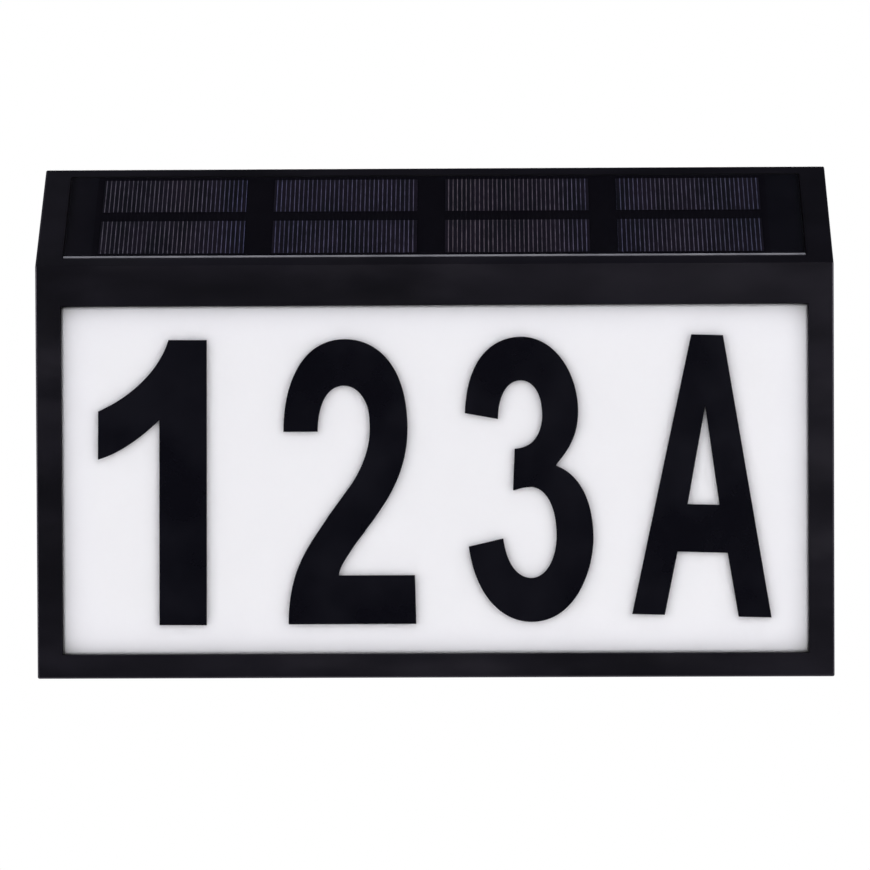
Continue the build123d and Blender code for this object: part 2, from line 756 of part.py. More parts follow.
def battery_contacts():
    """Two single contacts with tabs at the left end, and one that joins the cells at the right."""
    left = bay_x - bay_l / 2
    right = bay_x + bay_l / 2
    upper = bay_z + cell_offset_z
    lower = bay_z - cell_offset_z
    minus = contact_plate(left, 1, upper, contact_w)
    plus = contact_plate(left, 1, lower, contact_w) + along_x(left, lower, bump_r, contact_t + bump_h)
    tabs = [Pos(left - tab_l / 2 + contact_t / 2, cell_y, z) * Box(tab_l + contact_t, contact_t, tab_w)
            for z in (upper, lower)]
    join_h = 2 * cell_offset_z + contact_w
    joined = contact_plate(right, -1, bay_z, join_h) + along_x(right, upper, bump_r, -contact_t - bump_h)
    return [minus + tabs[0], plus + tabs[1], joined]


def tab_slots():
    left = bay_x - bay_l / 2
    slots = [Pos(left - bay_wall / 2, cell_y, bay_z + side * cell_offset_z)
             * Box(bay_wall * 1.5, contact_t + 2 * head_gap, tab_w + 2 * head_gap) for side in (-1, 1)]
    return slots[0] + slots[1]


def battery_springs():
    """Conical springs behind the flat end of each cell, drawn as the cone that their turns fill."""
    springs = []
    for sign in (1, -1):
        base_x = bay_x - sign * (bay_l / 2 - contact_t)
        z = bay_z + sign * cell_offset_z
        cone = Cone(spring_r, spring_tip_r, spring_h, align=(Align.CENTER, Align.CENTER, Align.MIN))
        bore = Cone(spring_r - 2 * spring_wire_r, spring_tip_r - 2 * spring_wire_r, spring_h,
                    align=(Align.CENTER, Align.CENTER, Align.MIN))
        springs.append(Pos(base_x, cell_y, z) * Rot(0, sign * 90, 0) * (cone - bore))
    return springs


def door_screw_seat():
    return door_face_y - head_sunk / 2 - small_head_h


def battery_door():
    """Lid of the bay, with ribs that hold the cells down and a finger notch."""
    door = block(bay_x, bay_z, door_l, door_w, door_face_y, door_back_y)
    door = fillet(door.edges().filter_by(Axis.Y), door_corner_r)
    rib_y = door_back_y - door_rib_h
    for side in (-1, 1):
        rib_z = bay_z + side * cell_offset_z
        door += block(bay_x, rib_z, door_rib_l, door_rib_w, door_back_y + merge, rib_y)
        x = bay_x + side * door_screw_x
        door -= post(x, bay_z, case_head_r + head_gap, wall, door_screw_seat())
        door -= post(x, bay_z, case_screw_r + head_gap, wall, door_back_y - wall)
    notch = Pos(bay_x, bay_z + door_w / 2 + hold_r / 2) * Circle(hold_r)
    return door - slab(notch, wall, door_face_y - door_t / 2)


def door_gasket():
    inner_l = bay_l + 2 * door_seal_inset
    inner_w = bay_w + 2 * door_seal_inset
    band = 2 * door_seal_w
    inner = RectangleRounded(inner_l, inner_w, door_seal_inset)
    outer = RectangleRounded(inner_l + band, inner_w + band, door_seal_inset + door_seal_w)
    return slab(Pos(bay_x, bay_z) * (outer - inner), door_back_y, door_back_y - door_seal_t)


def door_screws():
    return [screw(bay_x + side * door_screw_x, bay_z, door_screw_seat(), case_screw_r, door_screw_l,
                  case_head_r, small_head_h, 1) for side in (-1, 1)]


# ---- switch ----
def switch_stakes():
    """Two pins of the plate, melted over to hold the switch."""
    reach = (switch_ear_l + switch_l) / 4
    ears_y = switch_y - switch_ear_t
    stakes = [post(switch_x + side * reach, switch_z, stake_r, switch_y + merge, ears_y - merge)
              + post(switch_x + side * reach, switch_z, stake_head_r, ears_y, ears_y - stake_head_h)
              for side in (-1, 1)]
    return stakes[0] + stakes[1]


def switch_marks():
    """Moulded ring and bar beside the two ends of the knob's travel."""
    reach = switch_well_l / 2 - mark_inset
    floor_y = well_floor_y - mark_d
    ring = Circle(mark_r) - Circle(mark_r - mark_line)
    off = slab(Pos(switch_x - reach, switch_z) * ring, well_floor_y, floor_y)
    return off + block(switch_x + reach, switch_z, mark_line, mark_bar, well_floor_y, floor_y)


def switch_body():
    """Slide switch: a box with two fixing ears, a slot for its knob and three pins."""
    rear_y = switch_y - switch_d
    body = block(switch_x, switch_z, switch_l, switch_w, switch_y, rear_y)
    body += block(switch_x, switch_z, switch_ear_l, switch_w, switch_y, switch_y - switch_ear_t)
    reach = (switch_ear_l + switch_l) / 4
    for side in (-1, 1):
        x = switch_x + side * reach
        body -= post(x, switch_z, stake_r + stake_gap, switch_y + wall, switch_y - wall)
    slot_l = knob_l + switch_travel + 2 * knob_gap
    slot_floor_y = switch_y - knob_in - knob_gap
    body -= block(switch_x, switch_z, slot_l, knob_w + 2 * knob_gap, switch_y + wall, slot_floor_y)
    for i in (-1, 0, 1):
        body += block(switch_x + i * pin_pitch, switch_z, pin_w, pin_w, rear_y + merge, rear_y - pin_l)
    return body


def switch_knob():
    """Sliding knob, ridged across its top."""
    top = well_floor_y + knob_out
    knob = block(knob_rest_x, switch_z, knob_l, knob_w, top, switch_y - knob_in)
    knob = chamfer(knob.faces().sort_by(Axis.Y)[-1].edges(), knob_bevel)
    for i in (-1, 0, 1):
        x = knob_rest_x + i * ridge_pitch
        knob -= block(x, switch_z, ridge_w, 2 * knob_w, top + wall, top - ridge_d)
    return knob


# ---- control board ----
def pcb_holes():
    dx = pcb_l / 2 - pcb_hole_inset
    dz = pcb_w / 2 - pcb_hole_inset
    return [(pcb_x + i * dx, pcb_z + j * dz) for i in (-1, 1) for j in (-1, 1)]


def control_board():
    board = block(pcb_x, pcb_z, pcb_l, pcb_w, pcb_back_y, pcb_face_y)
    board = fillet(board.edges().filter_by(Axis.Y), pcb_corner_r)
    for x, z in pcb_holes():
        board -= post(x, z, pcb_screw_r + pcb_hole_gap, 0, pcb_face_y - merge)
    return board


def board_screws():
    return [screw(x, z, pcb_face_y, pcb_screw_r, pcb_screw_l, pcb_head_r, pcb_head_h, -1)
            for x, z in pcb_holes()]


def plug_spots():
    """Middle of each plug and whether its wires run along X: solar, lights, batteries, switch."""
    right = pcb_x + pcb_l / 2
    left = pcb_x - pcb_l / 2
    top = pcb_z + pcb_w / 2
    low = pcb_z - pcb_w / 2
    return {
        "solar": (pcb_x, top - plug_l / 2, False),
        "lights": (left + plug_l / 2, pcb_z + lights_plug_up, True),
        "batteries": (pcb_x - batteries_plug_left, low + plug_l / 2, False),
        "switch": (right - plug_l / 2, pcb_z - switch_plug_down, True),
    }


def board_connectors():
    plugs = []
    for x, z, level in plug_spots().values():
        length = plug_l if level else plug_w
        height = plug_w if level else plug_l
        plug = block(x, z, length, height, pcb_face_y, pcb_face_y - plug_h)
        plugs.append(chamfer(plug.faces().sort_by(Axis.Y)[0].edges(), plug_bevel))
    return plugs


def control_chip():
    """Small charge controller: a bevelled body with four legs a side."""
    x = pcb_x + chip_spot[0]
    z = pcb_z + chip_spot[1]
    body = block(x, z, chip_l, chip_w, pcb_face_y - chip_lift, pcb_face_y - chip_h)
    body = chamfer(body.faces().sort_by(Axis.Y)[0].edges(), chip_bevel)
    for i in range(4):
        leg_x = x + (i - 1.5) * leg_pitch
        body += block(leg_x, z, leg_w, chip_w + 2 * leg_out, pcb_face_y, pcb_face_y - 2 * chip_lift)
    return body


def charge_coil():
    """Round choke between two flat flanges."""
    x = pcb_x + coil_spot[0]
    z = pcb_z + coil_spot[1]
    end_y = pcb_face_y - coil_h
    core = post(x, z, coil_core_r, pcb_face_y - merge, end_y + merge)
    near = post(x, z, coil_r, pcb_face_y, pcb_face_y - coil_flange)
    far = post(x, z, coil_r, end_y + coil_flange, end_y)
    return near + core + far


def storage_capacitor():
    x = pcb_x + capacitor_spot[0]
    z = pcb_z + capacitor_spot[1]
    can = post(x, z, capacitor_r, pcb_face_y, pcb_face_y - capacitor_h)
    return fillet(can.edges().filter_by(GeomType.CIRCLE).sort_by(Axis.Y)[0], capacitor_edge_r)


# ---- leads ----
def solar_lead():
    x, z, _ = plug_spots()["solar"]
    start = deck_point(0, 0, foam_top - terminal_h)
    knee = deck_point(0, 0, foam_top - terminal_h - solar_lead_out)
    end_z = z + plug_l / 2
    points = [tuple(start), tuple(knee), (x, plug_y, end_z + plug_lead_out), (x, plug_y, end_z)]
    return lead(points, (1, 0, 0))


def led_lead():
    x, z, _ = plug_spots()["lights"]
    end_x = x - plug_l / 2
    points = [(feed_x, tray_floor_y, upper_strip_z), (feed_x, plug_y - light_lead_rise, upper_strip_z),
              (end_x - plug_lead_out, plug_y, z), (end_x, plug_y, z)]
    return lead(points, (0, 0, 1))


def led_link():
    drop_y = tray_back_y + link_room
    points = [(link_x, tray_floor_y, upper_strip_z), (link_x, drop_y, upper_strip_z),
              (link_x, drop_y, lower_strip_z), (link_x, tray_floor_y, lower_strip_z)]
    return lead(points, (1, 0, 0))


def battery_lead():
    """Two wires from the contact tabs round the end of the bay to their plug."""
    x, z, _ = plug_spots()["batteries"]
    end_z = z - plug_l / 2
    tab_x = bay_x - bay_l / 2 - tab_l
    routes = []
    for side in (1, -1):
        tab_z = bay_z + side * cell_offset_z
        outer = (1 - side) / 2 * lead_spread
        out_x = tab_x - bay_lead_out - outer
        turn_z = bay_z + bay_w / 2 + plug_w + outer
        pin_x = x + side * wire_step
        routes.append([(tab_x, cell_y, tab_z), (out_x, cell_y, tab_z), (out_x, cell_y, turn_z),
                       (pin_x, plug_y, end_z - bay_lead_out + outer / 2), (pin_x, plug_y, end_z)])
    return [wire(route) for route in routes]


def switch_lead():
    """Two wires from the side of the switch's pins up to their plug."""
    x, z, _ = plug_spots()["switch"]
    end_x = x + plug_l / 2
    pin_y = switch_y - switch_d - pin_l / 2
    routes = []
    for i in (0, 1):
        start_x = switch_x + (i - 1) * pin_pitch
        pin_z = z + (2 * i - 1) * wire_step
        turn_z = z - switch_lead_rise + (2 * i - 1) * lead_spread / 2
        routes.append([(start_x, pin_y, switch_z + pin_w / 2), (start_x, pin_y, turn_z),
                       (end_x + switch_lead_rise, plug_y, pin_z), (end_x, plug_y, pin_z)])
    return [wire(route) for route in routes]


def main():
    os.makedirs("parts", exist_ok=True)
    save("front_housing", front_housing())
    save("diffuser_panel", diffuser_panel())
    save("digit_1", character(one_outline(), 0, digit_1_in, digit_1_up, digit_1_tilt))
    save("digit_2", character(two_outline(), 1, digit_2_in, digit_2_up, 0))
    save("digit_3", character(three_outline(), 2, digit_3_in, digit_3_up, 0))
    save("letter_a", character(letter_a_outline(), 3, letter_a_in, letter_a_up, letter_a_tilt))
    save("solar_adhesive", *solar_adhesive())
    save("solar_backsheet", solar_backsheet())
    save("solar_cells", *solar_cells())
    save("solar_cover", solar_cover())
    save("solar_terminals", *solar_terminals())
    save("reflector_tray", reflector_tray())
    save("tray_screws", *tray_screws())
    save("led_board_upper", led_board(upper_strip_z))
    save("led_board_lower", led_board(lower_strip_z))
    save("led_chips_upper", *led_chips(upper_strip_z))
    save("led_chips_lower", *led_chips(lower_strip_z))
    save("back_cover", back_cover())
    save("back_gasket", back_gasket())
    save("case_screws", *case_screws())
    save("battery_cell_1", battery_cell(1))
    save("battery_cell_2", battery_cell(-1))
    save("battery_contacts", *battery_contacts())
    save("battery_springs", *battery_springs())
    save("battery_door", battery_door())
    save("door_gasket", door_gasket())
    save("door_screws", *door_screws())
    save("switch_body", switch_body())
    save("switch_knob", switch_knob())
    save("control_board", control_board())
    save("board_screws", *board_screws())
    save("board_connectors", *board_connectors())
    save("control_chip", control_chip())
    save("charge_coil", charge_coil())
    save("storage_capacitor", storage_capacitor())
    save("solar_lead", *solar_lead())
    save("led_lead", *led_lead())
    save("led_link", *led_link())
    save("battery_lead", *battery_lead())
    save("switch_lead", *switch_lead())


main()
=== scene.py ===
# %% [markdown]
# # A solar house number sign, dressed in Blender
# The sign is a black moulded box that hangs on a wall. An opal panel fills most of its front and
# glows at night behind four black stick-on characters, and a long solar module lies on its leaning
# top. Its shape is already exact, because it was built as solids and packed. What is left for this
# lesson is the looks: what each surface is made of, how it was made, and how light meets it.

# %% Load the solids
import json
import math

import bmesh
import bpy
from mathutils import Matrix, Vector


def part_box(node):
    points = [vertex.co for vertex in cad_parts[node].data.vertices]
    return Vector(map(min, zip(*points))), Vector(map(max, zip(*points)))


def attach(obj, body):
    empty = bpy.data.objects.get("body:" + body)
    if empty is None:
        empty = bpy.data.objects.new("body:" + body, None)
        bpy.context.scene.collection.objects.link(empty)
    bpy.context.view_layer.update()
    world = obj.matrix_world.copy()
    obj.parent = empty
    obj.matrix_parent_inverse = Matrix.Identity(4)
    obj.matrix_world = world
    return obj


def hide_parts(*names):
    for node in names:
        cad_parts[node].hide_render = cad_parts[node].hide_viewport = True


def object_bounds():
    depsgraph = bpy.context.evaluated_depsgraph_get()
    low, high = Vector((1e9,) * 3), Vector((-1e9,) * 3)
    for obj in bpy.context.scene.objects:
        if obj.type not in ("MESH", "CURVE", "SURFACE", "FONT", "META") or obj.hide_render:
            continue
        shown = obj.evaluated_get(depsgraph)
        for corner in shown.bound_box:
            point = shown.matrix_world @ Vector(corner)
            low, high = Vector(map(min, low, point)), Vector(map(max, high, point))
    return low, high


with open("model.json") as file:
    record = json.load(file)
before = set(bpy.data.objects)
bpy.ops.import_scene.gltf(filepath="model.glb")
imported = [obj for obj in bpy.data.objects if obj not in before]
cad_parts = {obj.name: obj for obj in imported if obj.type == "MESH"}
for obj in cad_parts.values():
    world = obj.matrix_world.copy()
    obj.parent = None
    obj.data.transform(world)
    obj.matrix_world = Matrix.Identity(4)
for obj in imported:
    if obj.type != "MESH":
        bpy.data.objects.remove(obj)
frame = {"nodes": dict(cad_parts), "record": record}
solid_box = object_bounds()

print("box in mm:", [round((high - low) * 1000, 1) for low, high in zip(*solid_box)])

# %% [markdown]
# ## Sizes the patterns need
# A pattern looks right only at its real scale, so every one below is given in millimetres. The
# solids arrive in metres, with +X to the right, +Z up and the lit front facing -Y. Where a pattern has
# to meet a piece, such as the row of cells, the piece's place is read from the solids.

# %% Sizes and places
MM = 0.001

cells_low, cells_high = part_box("solar_cells")
finger_pitch = 1.57 * MM
print("fingers across the module:", round((cells_high.x - cells_low.x) / finger_pitch))

# %% [markdown]
# ## Colours
# A colour picked from a photograph is an sRGB value, as screens use. Shaders add and multiply
# light, so they need linear values. One function turns the first into the second, and every colour
# below stays readable as the hex code that a paint program shows.


# %% Hex to linear
def linear(code):
    """Linear red, green, blue and alpha of an sRGB hex code such as "8ad0ff"."""
    parts = [int(code[i:i + 2], 16) / 255 for i in (0, 2, 4)]
    return [p / 12.92 if p <= 0.04045 else ((p + 0.055) / 1.055) ** 2.4 for p in parts] + [1.0]


print("mid grey 808080 is", [round(v, 3) for v in linear("808080")])

# %% [markdown]
# ## One way to add a node
# A material is a small network. Blender can build it by hand in the shader editor or, as here, in
# code. One function is enough: it adds a node of any kind, sets its options, and fills or links
# its inputs. An input may be named, or numbered where a node has several inputs of one name.


# %% Add a node
def add(tree, kind, inputs, **options):
    """Add a node; inputs gives each input a value or the output socket that feeds it."""
    made = tree.nodes.new(kind)
    for name, value in options.items():
        setattr(made, name, value)
    for key, value in inputs.items():
        if isinstance(value, bpy.types.NodeSocket):
            tree.links.new(value, made.inputs[key])
        else:
            made.inputs[key].default_value = value
    return made


def start_material(name, settings):
    """A new material: its node tree, its main shader and the place on the piece in metres."""
    made = bpy.data.materials.new(name)
    made.use_nodes = True
    tree = made.node_tree
    shader = tree.nodes["Principled BSDF"]
    for key, value in settings.items():
        shader.inputs[key].default_value = value
    place = add(tree, "ShaderNodeTexCoord", {}).outputs["Object"]
    return made, tree, shader, place


print("helpers:", add.__name__, "and", start_material.__name__)

# %% [markdown]
# ## What nearly every finish shares
# Real surfaces are never one even tone. Moulded plastic flows a little unevenly, handling leaves
# faint patches, and every mould or tool leaves a fine grain. So each finish has three layers: a
# broad drift between two close colours, a roughness that drifts with it, and a grain that tilts
# the surface by a few thousandths of a millimetre. The sizes differ, the recipe doesn't. Some
# finishes then lay a further colour over the base colour, such as a printed line, and a second
# function does that for all of them.


# %% The shared recipe and a colour laid over it
def finish(tree, shader, place, dark, light, patch, rough, grain, height, stretch=(1, 1, 1)):
    """Drift of colour and roughness over patches, and a fine grain; sizes in millimetres."""
    pulled = add(tree, "ShaderNodeMapping", {"Vector": place, "Scale": stretch})
    drift = add(tree, "ShaderNodeTexNoise", {
        "Vector": pulled.outputs[0], "Scale": 1 / (patch * MM), "Detail": 5.0, "Roughness": 0.55})
    soft = add(tree, "ShaderNodeMapRange", {
        "Value": drift.outputs["Fac"], "From Min": 0.3, "From Max": 0.7}, interpolation_type="SMOOTHSTEP")
    tone = add(tree, "ShaderNodeMix", {0: soft.outputs[0], 6: linear(dark), 7: linear(light)},
               data_type="RGBA")
    polish = add(tree, "ShaderNodeMapRange", {
        "Value": soft.outputs[0], "To Min": rough[0], "To Max": rough[1]})
    fine = add(tree, "ShaderNodeTexNoise", {
        "Vector": pulled.outputs[0], "Scale": 1 / (grain * MM), "Detail": 3.0, "Roughness": 0.6})
    bump = add(tree, "ShaderNodeBump", {
        "Height": fine.outputs["Fac"], "Distance": height * MM, "Strength": 1.0})
    tree.links.new(tone.outputs[2], shader.inputs["Base Color"])
    tree.links.new(polish.outputs[0], shader.inputs["Roughness"])
    tree.links.new(bump.outputs[0], shader.inputs["Normal"])


def lay_over(tree, shader, share, colour):
    """Mix the base colour so far built towards colour, a value or a socket, by share."""
    base = shader.inputs["Base Color"].links[0].from_socket
    tone = add(tree, "ShaderNodeMix", {0: share, 6: base, 7: colour}, data_type="RGBA")
    tree.links.new(tone.outputs[2], shader.inputs["Base Color"])


print("patches of 20 mm are noise at a scale of", 1 / (20 * MM))

# %% [markdown]
# ## The case: moulded black ABS
# ABS is the tough, slightly soft-looking plastic of most outdoor housings. The mould is
# spark-eroded, which leaves a fine even grain, so the black shows as a dark satin that catches a
# wide soft highlight and never a sharp one. Broad faint patches, a few centimetres across, come
# from handling and from the way the plastic cooled. A handled patch is also duller, so a second
# noise adds a little roughness there. Here the grain is drawn at 0.45 mm, a little coarser than the
# real 0.2 mm, so that it can show.


# %% Black ABS
def moulded_black_abs():
    made, tree, shader, place = start_material("moulded black ABS", {
        "IOR": 1.54, "Specular Tint": linear("f6efff")})
    finish(tree, shader, place, "07070b", "0c0b12", patch=34.0, rough=(0.28, 0.38),
           grain=0.45, height=0.006, stretch=(0.6, 1, 1.5))
    wide = add(tree, "ShaderNodeMapping", {
        "Vector": place, "Location": (0.31, 0.1, 0.07), "Scale": (0.55, 1, 1.3)})
    touched = add(tree, "ShaderNodeTexNoise", {
        "Vector": wide.outputs[0], "Scale": 1 / (22 * MM), "Detail": 3.0, "Roughness": 0.5})
    patch = add(tree, "ShaderNodeMapRange", {
        "Value": touched.outputs["Fac"], "From Min": 0.46, "From Max": 0.8, "To Max": 0.11},
        interpolation_type="SMOOTHSTEP")
    polish = shader.inputs["Roughness"].links[0].from_socket
    duller = add(tree, "ShaderNodeMath", {0: polish, 1: patch.outputs[0]}, operation="ADD")
    tree.links.new(duller.outputs[0], shader.inputs["Roughness"])
    return made


black_abs = moulded_black_abs()
print(black_abs.name, len(black_abs.node_tree.nodes), "nodes")

# %% [markdown]
# ## The rear plate and its door: eroded black ABS
# Nobody looks at the back of a sign, so its mould isn't polished after spark erosion. The plate and
# the battery door keep the full grain, coarser and duller than the front, which also hides the
# scuffs from sliding it onto its screws. The real grain is about 0.3 mm wide. It is drawn at 0.9 mm,
# so that it can show.


# %% Eroded black ABS
def eroded_black_abs():
    made, tree, shader, place = start_material("spark-eroded black ABS", {"IOR": 1.54})
    finish(tree, shader, place, "0d0d10", "15151a", patch=26.0, rough=(0.5, 0.64),
           grain=0.9, height=0.03)
    return made


rear_abs = eroded_black_abs()
rear_nodes = ("back_cover", "battery_door")
print(rear_abs.name, "for", rear_nodes)

# %% [markdown]
# ## The panel: cast opal acrylic
# Opal acrylic is clear resin full of white pigment. Light goes in, scatters up to a centimetre and
# comes out somewhere else. Beside a black character the white therefore turns softly grey, because
# no light gets in under it. One could paint that shade on, but subsurface scattering makes it by
# itself, from any side. Along the bezel a wider shade is painted into the base colour. It stands in
# for the light box behind, which ends there and gives less light back. That painted shade follows
# the distance to the window's edge, whose place is worked out from the case's box and the widths of
# its frame.


# %% Opal acrylic
scatter_length = 10.0 * MM
painted_shade_reach = 4.0 * MM
painted_shade_share = 0.56
case_low, case_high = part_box("front_housing")
window_side = 8.85 * MM
window_base = 8.35 * MM
window_height = 122.5 * MM
window_left = case_low.x + window_side
window_right = case_high.x - window_side
window_foot = case_low.z + window_base
window_top = window_foot + window_height


def distance_inside(tree, place, axis, low, high):
    """How far a point lies inside the two edges low and high along one axis."""
    apart = add(tree, "ShaderNodeSeparateXYZ", {"Vector": place})
    shift = add(tree, "ShaderNodeMath", {0: apart.outputs[axis], 1: (low + high) / 2}, operation="SUBTRACT")
    reach = add(tree, "ShaderNodeMath", {0: shift.outputs[0]}, operation="ABSOLUTE")
    inside = add(tree, "ShaderNodeMath", {0: (high - low) / 2, 1: reach.outputs[0]}, operation="SUBTRACT")
    return inside.outputs[0]


def painted_edge_shade(tree, inside):
    """Painted shade: 1 at an edge, and about a third as much for every painted_shade_reach further in."""
    fall = add(tree, "ShaderNodeMath", {0: inside, 1: -1 / painted_shade_reach}, operation="MULTIPLY")
    return add(tree, "ShaderNodeMath", {0: math.e, 1: fall.outputs[0]}, operation="POWER").outputs[0]


def cast_opal_acrylic():
    made, tree, shader, place = start_material("cast opal acrylic", {
        "IOR": 1.49, "Subsurface Weight": 1.0, "Subsurface Radius": (1.0, 1.0, 1.0),
        "Subsurface Scale": scatter_length})
    finish(tree, shader, place, "f6f6f8", "f8f8fa", patch=60.0, rough=(0.28, 0.36),
           grain=1.2, height=0.001)
    # Painted shade: near the window's edges the white is mixed towards grey, and more so in the corners.
    across = painted_edge_shade(tree, distance_inside(tree, place, "X", window_left, window_right))
    upright = painted_edge_shade(tree, distance_inside(tree, place, "Z", window_foot, window_top))
    shade = add(tree, "ShaderNodeMath", {0: across, 1: upright}, operation="ADD")
    share = add(tree, "ShaderNodeMath", {0: shade.outputs[0], 1: painted_shade_share}, operation="MULTIPLY",
                use_clamp=True)
    lay_over(tree, shader, share.outputs[0], linear("636361"))
    return made


opal = cast_opal_acrylic()
print(opal.name, "scatters over", round(scatter_length / MM, 2), "mm")

# %% [markdown]
# ## The characters: cut black vinyl
# The four characters are cut from thick black sheet and stuck on. A cut sheet is smoother than a
# moulded case, with a weak orange-peel ripple a couple of millimetres across, so it mirrors the
# room a little more clearly and looks a shade deeper than the case.


# %% Black vinyl
def cut_black_vinyl():
    made, tree, shader, place = start_material("cut black vinyl", {
        "IOR": 1.52, "Specular IOR Level": 0.42, "Specular Tint": linear("f1efff")})
    finish(tree, shader, place, "04040a", "07070f", patch=28.0, rough=(0.26, 0.36),
           grain=2.4, height=0.004)
    return made


black_vinyl = cut_black_vinyl()
print(black_vinyl.name, "ready")

# %% [markdown]
# ## The solar cells: printed silicon
# A cell strip is cut from a silicon wafer. Its blue-black comes from a coating a tenth of a
# thousandth of a millimetre thick, and its tint drifts from blue to brown where that coating is
# thinner. Fine silver fingers, 1.57 mm apart, are printed across it to gather the current. The
# real lines are about 0.1 mm wide. They are drawn at 0.24 mm here, because a thinner line would be
# lost between two pixels. The fingers depend on X alone, so one repeated ramp draws them all. Each
# line is full up to line_core beside its middle and gone at line_rim, as shares of the pitch.
#
# The strips come from different wafers, so their fingers look now more violet, now more pink. The
# table finger_tints gives that drift from the left end of the cells, 0, to their right end, 1.


# %% Silicon and its fingers
line_core = 0.05
line_rim = 0.1
finger_tints = ((0.07, "6f6c7a"), (0.13, "756f7c"), (0.22, "62658a"), (0.3, "686784"), (0.46, "6b6984"),
               (0.53, "7b727b"), (0.68, "766f7d"), (0.76, "626587"), (0.86, "706c7e"))


def printed_silicon():
    made, tree, shader, place = start_material("printed silicon", {"IOR": 1.9, "Specular IOR Level": 0.1})
    finish(tree, shader, place, "0b0c13", "15101c", patch=9.0, rough=(0.3, 0.42),
           grain=0.8, height=0.001, stretch=(1, 0.4, 0.4))
    apart = add(tree, "ShaderNodeSeparateXYZ", {"Vector": place})
    along = add(tree, "ShaderNodeMath", {0: apart.outputs["X"], 1: cells_low.x}, operation="SUBTRACT")
    count = add(tree, "ShaderNodeMath", {0: along.outputs[0], 1: finger_pitch}, operation="DIVIDE")
    phase = add(tree, "ShaderNodeMath", {0: count.outputs[0]}, operation="FRACT")
    centred = add(tree, "ShaderNodeMath", {0: phase.outputs[0], 1: 0.5}, operation="SUBTRACT")
    aside = add(tree, "ShaderNodeMath", {0: centred.outputs[0]}, operation="ABSOLUTE")
    line = add(tree, "ShaderNodeMapRange", {
        "Value": aside.outputs[0], "From Min": line_core, "From Max": line_rim, "To Min": 1.0,
        "To Max": 0.0})
    share = add(tree, "ShaderNodeMapRange", {
        "Value": apart.outputs["X"], "From Min": cells_low.x, "From Max": cells_high.x})
    silver = add(tree, "ShaderNodeValToRGB", {"Fac": share.outputs[0]})
    ramp = silver.color_ramp
    ramp.elements[0].color = linear("736f7b")
    ramp.elements[1].color = linear("646884")
    for spot, code in finger_tints:
        ramp.elements.new(spot).color = linear(code)
    worn = add(tree, "ShaderNodeTexNoise", {"Vector": place, "Scale": 1 / (3 * MM), "Detail": 2.0})
    faint = add(tree, "ShaderNodeMapRange", {
        "Value": worn.outputs["Fac"], "From Min": 0.3, "From Max": 0.7, "To Min": 0.35, "To Max": 1.0})
    shown = add(tree, "ShaderNodeMath", {0: line.outputs[0], 1: faint.outputs[0]}, operation="MULTIPLY")
    lay_over(tree, shader, shown.outputs[0], silver.outputs[0])
    return made


silicon = printed_silicon()
print(silicon.name, "fingers every", round(finger_pitch / MM, 2), "mm")

# %% [markdown]
# ## The module's cover: cast clear laminate
# A clear resin layer is cast over the cells, so that they lie inside it with no air between. The
# solid model keeps a thin gap round each cell, as separate solids must, and in a render that gap
# would glint. So here the cover is modelled again as it was cast: one slab with the cells in it. A
# cube, stretched, bevelled and turned to the slope of the deck, is all it takes. It is sunk a
# fiftieth of a millimetre into the board, so that no film of air is left there either.
#
# Its faces don't look alike. The top is smooth and clear. The lower edge was sawn, which leaves it
# frosted and pale, and it is the grey line along the foot of the module. The other three edges stand
# in the shade of the recess's gap, and that shade is painted on them as black.


# %% Cover slab
cover_low, cover_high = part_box("solar_cover")
cover_thick = 1.0 * MM
cover_length = cover_high.x - cover_low.x
cover_width = (cover_high.y - cover_low.y) * math.sqrt(2) - cover_thick
deck_lean = math.radians(45)
edge_round = 0.06 * MM
sunk = 0.02 * MM


def cast_slab():
    """The cover's mesh: face groups 0 clear, 1 the sawn lower edge, 2 the edges in painted shade."""
    work = bmesh.new()
    bmesh.ops.create_cube(work, size=1.0)
    bmesh.ops.scale(work, verts=work.verts, vec=(cover_length, cover_width, cover_thick + sunk))
    bmesh.ops.translate(work, verts=work.verts, vec=(0, 0, -sunk / 2))
    for face in work.faces:
        if abs(face.normal.z) < 0.5:
            face.material_index = 1 if face.normal.y < -0.5 else 2
    lower = [edge for edge in work.edges if all(v.co.y < 0 for v in edge.verts)]
    bmesh.ops.bevel(work, geom=lower, offset=edge_round, offset_type="OFFSET", segments=2,
                    profile=0.5, affect="EDGES", material=-1)
    tilt = Matrix.Rotation(deck_lean, 4, "X")
    bmesh.ops.transform(work, verts=work.verts,
                        matrix=Matrix.Translation((cover_low + cover_high) / 2) @ tilt)
    mesh = bpy.data.meshes.new("cast_cover")
    work.to_mesh(mesh)
    work.free()
    return mesh


cover = bpy.data.objects.new("cast_cover", cast_slab())
bpy.context.scene.collection.objects.link(cover)
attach(cover, "case")
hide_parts("solar_cover")
print("cover in mm:", round(cover_length / MM, 1), "by", round(cover_width / MM, 1))

# %% [markdown]
# ## The cover's three finishes
# Lamps must reach the cells through the cover, so a ray on its way to a lamp passes straight
# through. Without that, glass casts a dark shadow over what it holds.


# %% Clear, sawn and painted shade
def cast_clear_laminate():
    made, tree, shader, place = start_material("cast clear laminate", {
        "IOR": 1.45, "Transmission Weight": 1.0})
    finish(tree, shader, place, "fafafc", "ffffff", patch=30.0, rough=(0.03, 0.07),
           grain=1.6, height=0.0004)
    path = add(tree, "ShaderNodeLightPath", {})
    open_way = add(tree, "ShaderNodeBsdfTransparent", {"Color": linear("fcfcfe")})
    both = add(tree, "ShaderNodeMixShader", {
        0: path.outputs["Is Shadow Ray"], 1: shader.outputs[0], 2: open_way.outputs[0]})
    tree.links.new(both.outputs[0], tree.nodes["Material Output"].inputs["Surface"])
    return made


